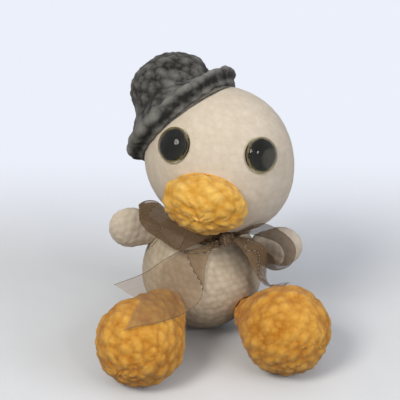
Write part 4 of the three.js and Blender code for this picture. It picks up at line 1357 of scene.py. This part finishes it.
def ribbon_points(rows, share, side, outward):
    """Points of a ribbon: along each edge a smooth curve runs through the rows, and the ribbon folds to
    and fro between the two curves wherever they are closer than it is wide. With t the layers from
    its first fold, the share across is the arc cosine of cos(pi t), a saw-tooth, with rounded teeth.
    Each layer lies over the last. Then each point moves off what the ribbon lies on."""
    ribbon = settings().ribbon
    edges = [curve(rows[:, edge], share) for edge in (0, 1)]
    width = np.linalg.norm(edges[1] - edges[0], axis=-1)
    layers = (1 - side) * np.maximum(1, ribbon.width / np.maximum(width, 3 * MM))
    round_tooth = np.arccos(FOLD_ROUND)
    across = (np.arccos(FOLD_ROUND * np.cos(pi * layers)) - round_tooth) / (pi - 2 * round_tooth)
    onward = np.gradient(edges[0] + edges[1], axis=0)
    normal = unit(np.cross(onward, edges[1] - edges[0]))
    lift = ribbon.layer * (layers + np.sin(2 * pi * layers) / (2 * pi))[..., None]
    points = edges[1] + (edges[0] - edges[1]) * across[..., None] + outward * normal * lift
    clear = ribbon.clear + lift
    for off in (off_head, off_body, off_band):
        points = off(points, clear)
    points = pushed(points, knot_place(), ribbon.knot + clear)
    for leg in SIDES:
        points = off_leg(points, leg, clear)
    return points


def strip_shares(first, last, notch, steps):
    """Shares along and across a stretch of ribbon from first to last, with a fishtail's notch in its
    end: the middle stops short by the notch, and the edges run on to the end."""
    side = np.linspace(0, 1, RIBBON_POINTS)[None, :]
    end = last * (1 - notch * (1 - np.abs(2 * side - 1)))
    share = first + (end - first) * np.linspace(0, 1, steps)[:, None]
    return share, side + 0 * share


def ribbon_strip(name, points, side, node, gathered=False):
    """A stretch of ribbon with a UV map in millimetres, and the flat size that it was cut to: its length
    is that of the line through the middle of each row."""
    ribbon = settings().ribbon
    along = steps_along(points.mean(1))
    uv = np.stack([side * ribbon.width, along[:, None] + 0 * side], -1) / MM
    piece = open_strip(name, points, ribbon_finish(gathered), uv)
    attach(piece, None, "ribbon_organza", node)
    return piece, (ribbon.width, float(along[-1]))


class DUCK_OT_ribbon(bpy.types.Operator):
    """Tie the sheer ribbon round the neck"""
    bl_idname = "duck.ribbon"
    bl_label = "Ribbon"

    def execute(self, context):
        knot = self.tie_knot()
        self.tie_band(knot)
        for side in SIDES:
            self.tie_loop(side)
            self.tie_tail(side)
        return {"FINISHED"}

    def tie_knot(self):
        """The knot: a ball drawn in by the folds of the ribbon that wraps it. The folds are sine waves
        that run over it at a slant."""
        ribbon = settings().ribbon
        points = ring_grid(arc(1, 1, 0, -90, 90), 0.06, 96)[2]
        folds = 0.06 * np.sin(11 * points[..., 0] + 4 * points[..., 2]) + 0.05 * noise(points, 0.5, 83)
        grid = knot_place() + points @ NECK.axes.T * ribbon.knot * (0.94 + folds)[..., None]
        piece = closed_round("knot", grid, finish_of("Knotted organza", knotted_organza, ribbon.taupe))
        return attach(piece, "torso", "ribbon_organza", "ribbon_knot")

    def tie_band(self, knot):
        """The band: gathered between head and body. Across it a sine wave of four pleats fills the
        space between its inner and outer radius, and round it the pleats shift and swell."""
        ribbon, body, head = settings().ribbon, settings().body, settings().head
        around, side = np.linspace(0, 2 * pi, 241)[:, None], np.linspace(0, 1, RIBBON_POINTS)[None, :]
        middle, margin, pleats = ribbon.band + ribbon.band_thickness / 2, 0.8 * MM, 4
        wave = np.sin(2 * pi * pleats * side + 0.8 * np.sin(3 * around))
        radius = middle + ribbon.band_thickness / 2 * (0.85 + 0.15 * np.cos(5 * around)) * wave
        drop = head.half_height * np.sqrt(1 - (radius / head.radius) ** 2)
        high = np.linalg.norm(head_place().origin - NECK.origin) - drop - margin
        neck_rise = body.rim + GAP + NECK_STITCH / 2
        low = body.widest + body_upper() * np.sqrt(1 - (radius / body.radius) ** 2) - neck_rise + margin
        x, y = radius * np.sin(around), -radius * np.cos(around)
        points = NECK.out(np.stack([x, y, low + (high - low) * side], -1))
        piece, flat = ribbon_strip("neck_band", points, side + 0 * around, "ribbon_neckband", True)
        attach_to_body(piece, "torso")

    def tie_loop(self, side):
        """A loop: one strip from the knot out and back."""
        rows = knot_place() + np.array(LOOP_ROWS[side]) * MM
        share, across = strip_shares(0, 1, 0, 121)
        piece, flat = ribbon_strip(f"loop_{side}", ribbon_points(rows, share, across, 1), across,
                                   f"ribbon_loop_{side}", True)
        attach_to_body(piece, "torso")

    def tie_tail(self, side):
        """A tail: an upper strip that follows the body down to the leg's root, and a lower one that
        goes on from its last row and follows the leg."""
        place, reach, _, _ = leg_place(side)
        foot = place.out(np.array([0, 0, reach]))
        rows = joined(knot_place() + np.array(TAIL_ROWS[side]["knot"]) * MM,
                      foot + np.array(TAIL_ROWS[side]["foot"]) * MM)
        outward = {"left": 1, "right": -1}[side]
        share, across = strip_shares(0, TAIL_SPLIT, 0, 60)
        upper = ribbon_points(rows, share, across, outward)
        share, across_lower = strip_shares(TAIL_SPLIT, 1, FISHTAIL, 80)
        lower = ribbon_points(rows, share, across_lower, outward)
        node, root = f"ribbon_tail_{side}", f"leg_{side}_root"

        piece, flat = ribbon_strip(f"tail_{side}_upper", upper, across, node)
        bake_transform(piece)
        piece, flat = ribbon_strip(f"tail_{side}_lower", lower, across_lower, node)
        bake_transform(piece)


class DUCK_OT_stage(bpy.types.Operator):
    """Set up floor, lights and camera"""
    bl_idname = "duck.stage"
    bl_label = "Stage"

    def execute(self, context):
        stage, scene = settings().stage, context.scene
        scene.view_settings.view_transform = "Standard"
        aim = np.array([-1 * MM, 0, stage.aim])
        back = np.array([0, -np.cos(stage.elevation), np.sin(stage.elevation)])
        camera = bpy.data.objects.new("camera", bpy.data.cameras.new("camera"))
        camera.data.lens = stage.lens
        camera.data.sensor_width = 36
        camera.data.clip_start = 10 * MM
        camera.location = aim + back * stage.distance
        camera.rotation_euler = (pi / 2 - stage.elevation, 0, 0)
        scene.collection.objects.link(camera)
        scene.camera = camera
        self.add_floor(stage)
        self.add_lights(scene)
        return {"FINISHED"}

    def add_floor(self, stage):
        """A floor that curves up into a backdrop: flat, a quarter round, then upright. Far behind the
        duck, camera, glossy and transmission rays see the backdrop's plain colour, and light doesn't."""
        finish = finish_of("Matt painted board", painted_board, stage.floor)
        tree = finish.node_tree
        behind = add(tree, "SeparateXYZ", {0: add(tree, "TexCoord").outputs["Object"]}).outputs[1]
        far_off = ranged(tree, behind, 0.03, 0.2, options={"interpolation_type": "SMOOTHSTEP"})
        share = reckoned(tree, "MULTIPLY", seen_rays(tree), far_off)
        glow = add(tree, "Emission", {"Color": shaded(stage.wall), "Strength": 1.0}).outputs[0]
        board = tree.nodes["Principled BSDF"].outputs[0]
        both = add(tree, "MixShader", {0: share, 1: board, 2: glow}).outputs[0]
        feed(tree, tree.nodes["Material Output"], {"Surface": both})
        half, near, far, bend, top = 1.6, -1.2, 0.7, 0.35, 1.4
        angle = np.linspace(0, pi / 2, 24)
        quarter = np.stack([far + bend * np.sin(angle), bend - bend * np.cos(angle)], -1)
        path = joined((near, 0), quarter, (far + bend, top))
        grid = np.stack([np.column_stack([np.full(len(path), x), path]) for x in (-half, half)])
        open_strip("floor", grid, finish)

    def add_lights(self, scene):
        """A soft window above and to the left, a small lamp, a fill from the right that the eyes don't
        mirror, and a ceiling that is bright above and fades towards the floor. Camera, glossy and
        transmission rays see the ceiling evenly pale."""
        world = bpy.data.worlds.new("Pale ceiling")
        world.use_nodes = True
        tree = world.node_tree
        up = add(tree, "SeparateXYZ", {0: add(tree, "TexCoord").outputs["Object"]}).outputs[2]
        bright = ranged(tree, up, 0.0, 0.9, 0.15, 0.68)
        strength = add(tree, "Mix", {0: seen_rays(tree), 2: bright, 3: 1.0}, {"data_type": "FLOAT"})
        feed(tree, tree.nodes["Background"], {
            "Strength": strength.outputs[0], "Color": shaded(linear("#eceff5"))})
        scene.world = world
        lamps = {
            "window": ((-0.5, -0.6, 0.8), 0.4, 6.3, "#fffaf2"),
            "fill": ((0.8, -0.5, 0.5), 0.6, 3.8, "#f4f6ff"),
            "lamp": ((0.42, -0.74, 0.68), 0.16, 1.0, "#fffdf8"),
        }
        for name, (place, size, power, code) in lamps.items():
            lamp = bpy.data.lights.new(name, "AREA")
            lamp.shape = "DISK"
            lamp.size = size
            lamp.energy = power
            lamp.color = linear(code)
            made = bpy.data.objects.new(name, lamp)
            made.location = place
            made.visible_glossy = name != "fill"
            away = unit(np.array(place) - np.array([0, 0, 0.06]))
            made.rotation_euler = (np.arccos(away[2]), 0, np.arctan2(away[1], away[0]) + pi / 2)
            scene.collection.objects.link(made)


class DUCK_PT_panel(bpy.types.Panel):
    """Lists the duck's pieces"""
    bl_label = "Plush Duck"
    bl_idname = "DUCK_PT_panel"
    bl_space_type = "VIEW_3D"
    bl_region_type = "UI"
    bl_category = "Plush Duck"

    def draw(self, context):
        for operator in OPERATORS:
            self.layout.operator(operator.bl_idname)


GROUPS = (DuckYarn, DuckBody, DuckHead, DuckEyes, DuckBeak, DuckHat, DuckLimbs, DuckRibbon, DuckStage,
          DuckSettings)
OPERATORS = (DUCK_OT_stage, DUCK_OT_body, DUCK_OT_head, DUCK_OT_eyes, DUCK_OT_beak, DUCK_OT_hat,
             DUCK_OT_wings, DUCK_OT_legs, DUCK_OT_seams, DUCK_OT_ribbon, DUCK_OT_filling)


def register():
    """Registers the classes and the scene's settings."""
    for kind in (*GROUPS, *OPERATORS, DUCK_PT_panel):
        bpy.utils.register_class(kind)
    bpy.types.Scene.plush_duck = PointerProperty(type=DuckSettings)


def unregister():
    """Removes the scene's settings and the classes."""
    del bpy.types.Scene.plush_duck
    for kind in reversed((*GROUPS, *OPERATORS, DUCK_PT_panel)):
        bpy.utils.unregister_class(kind)


def main():
    """Builds every piece in order."""
    register()
    for operator in OPERATORS:
        group, name = operator.bl_idname.split(".")
        getattr(getattr(bpy.ops, group), name)()


if __name__ == "__main__":
    main()
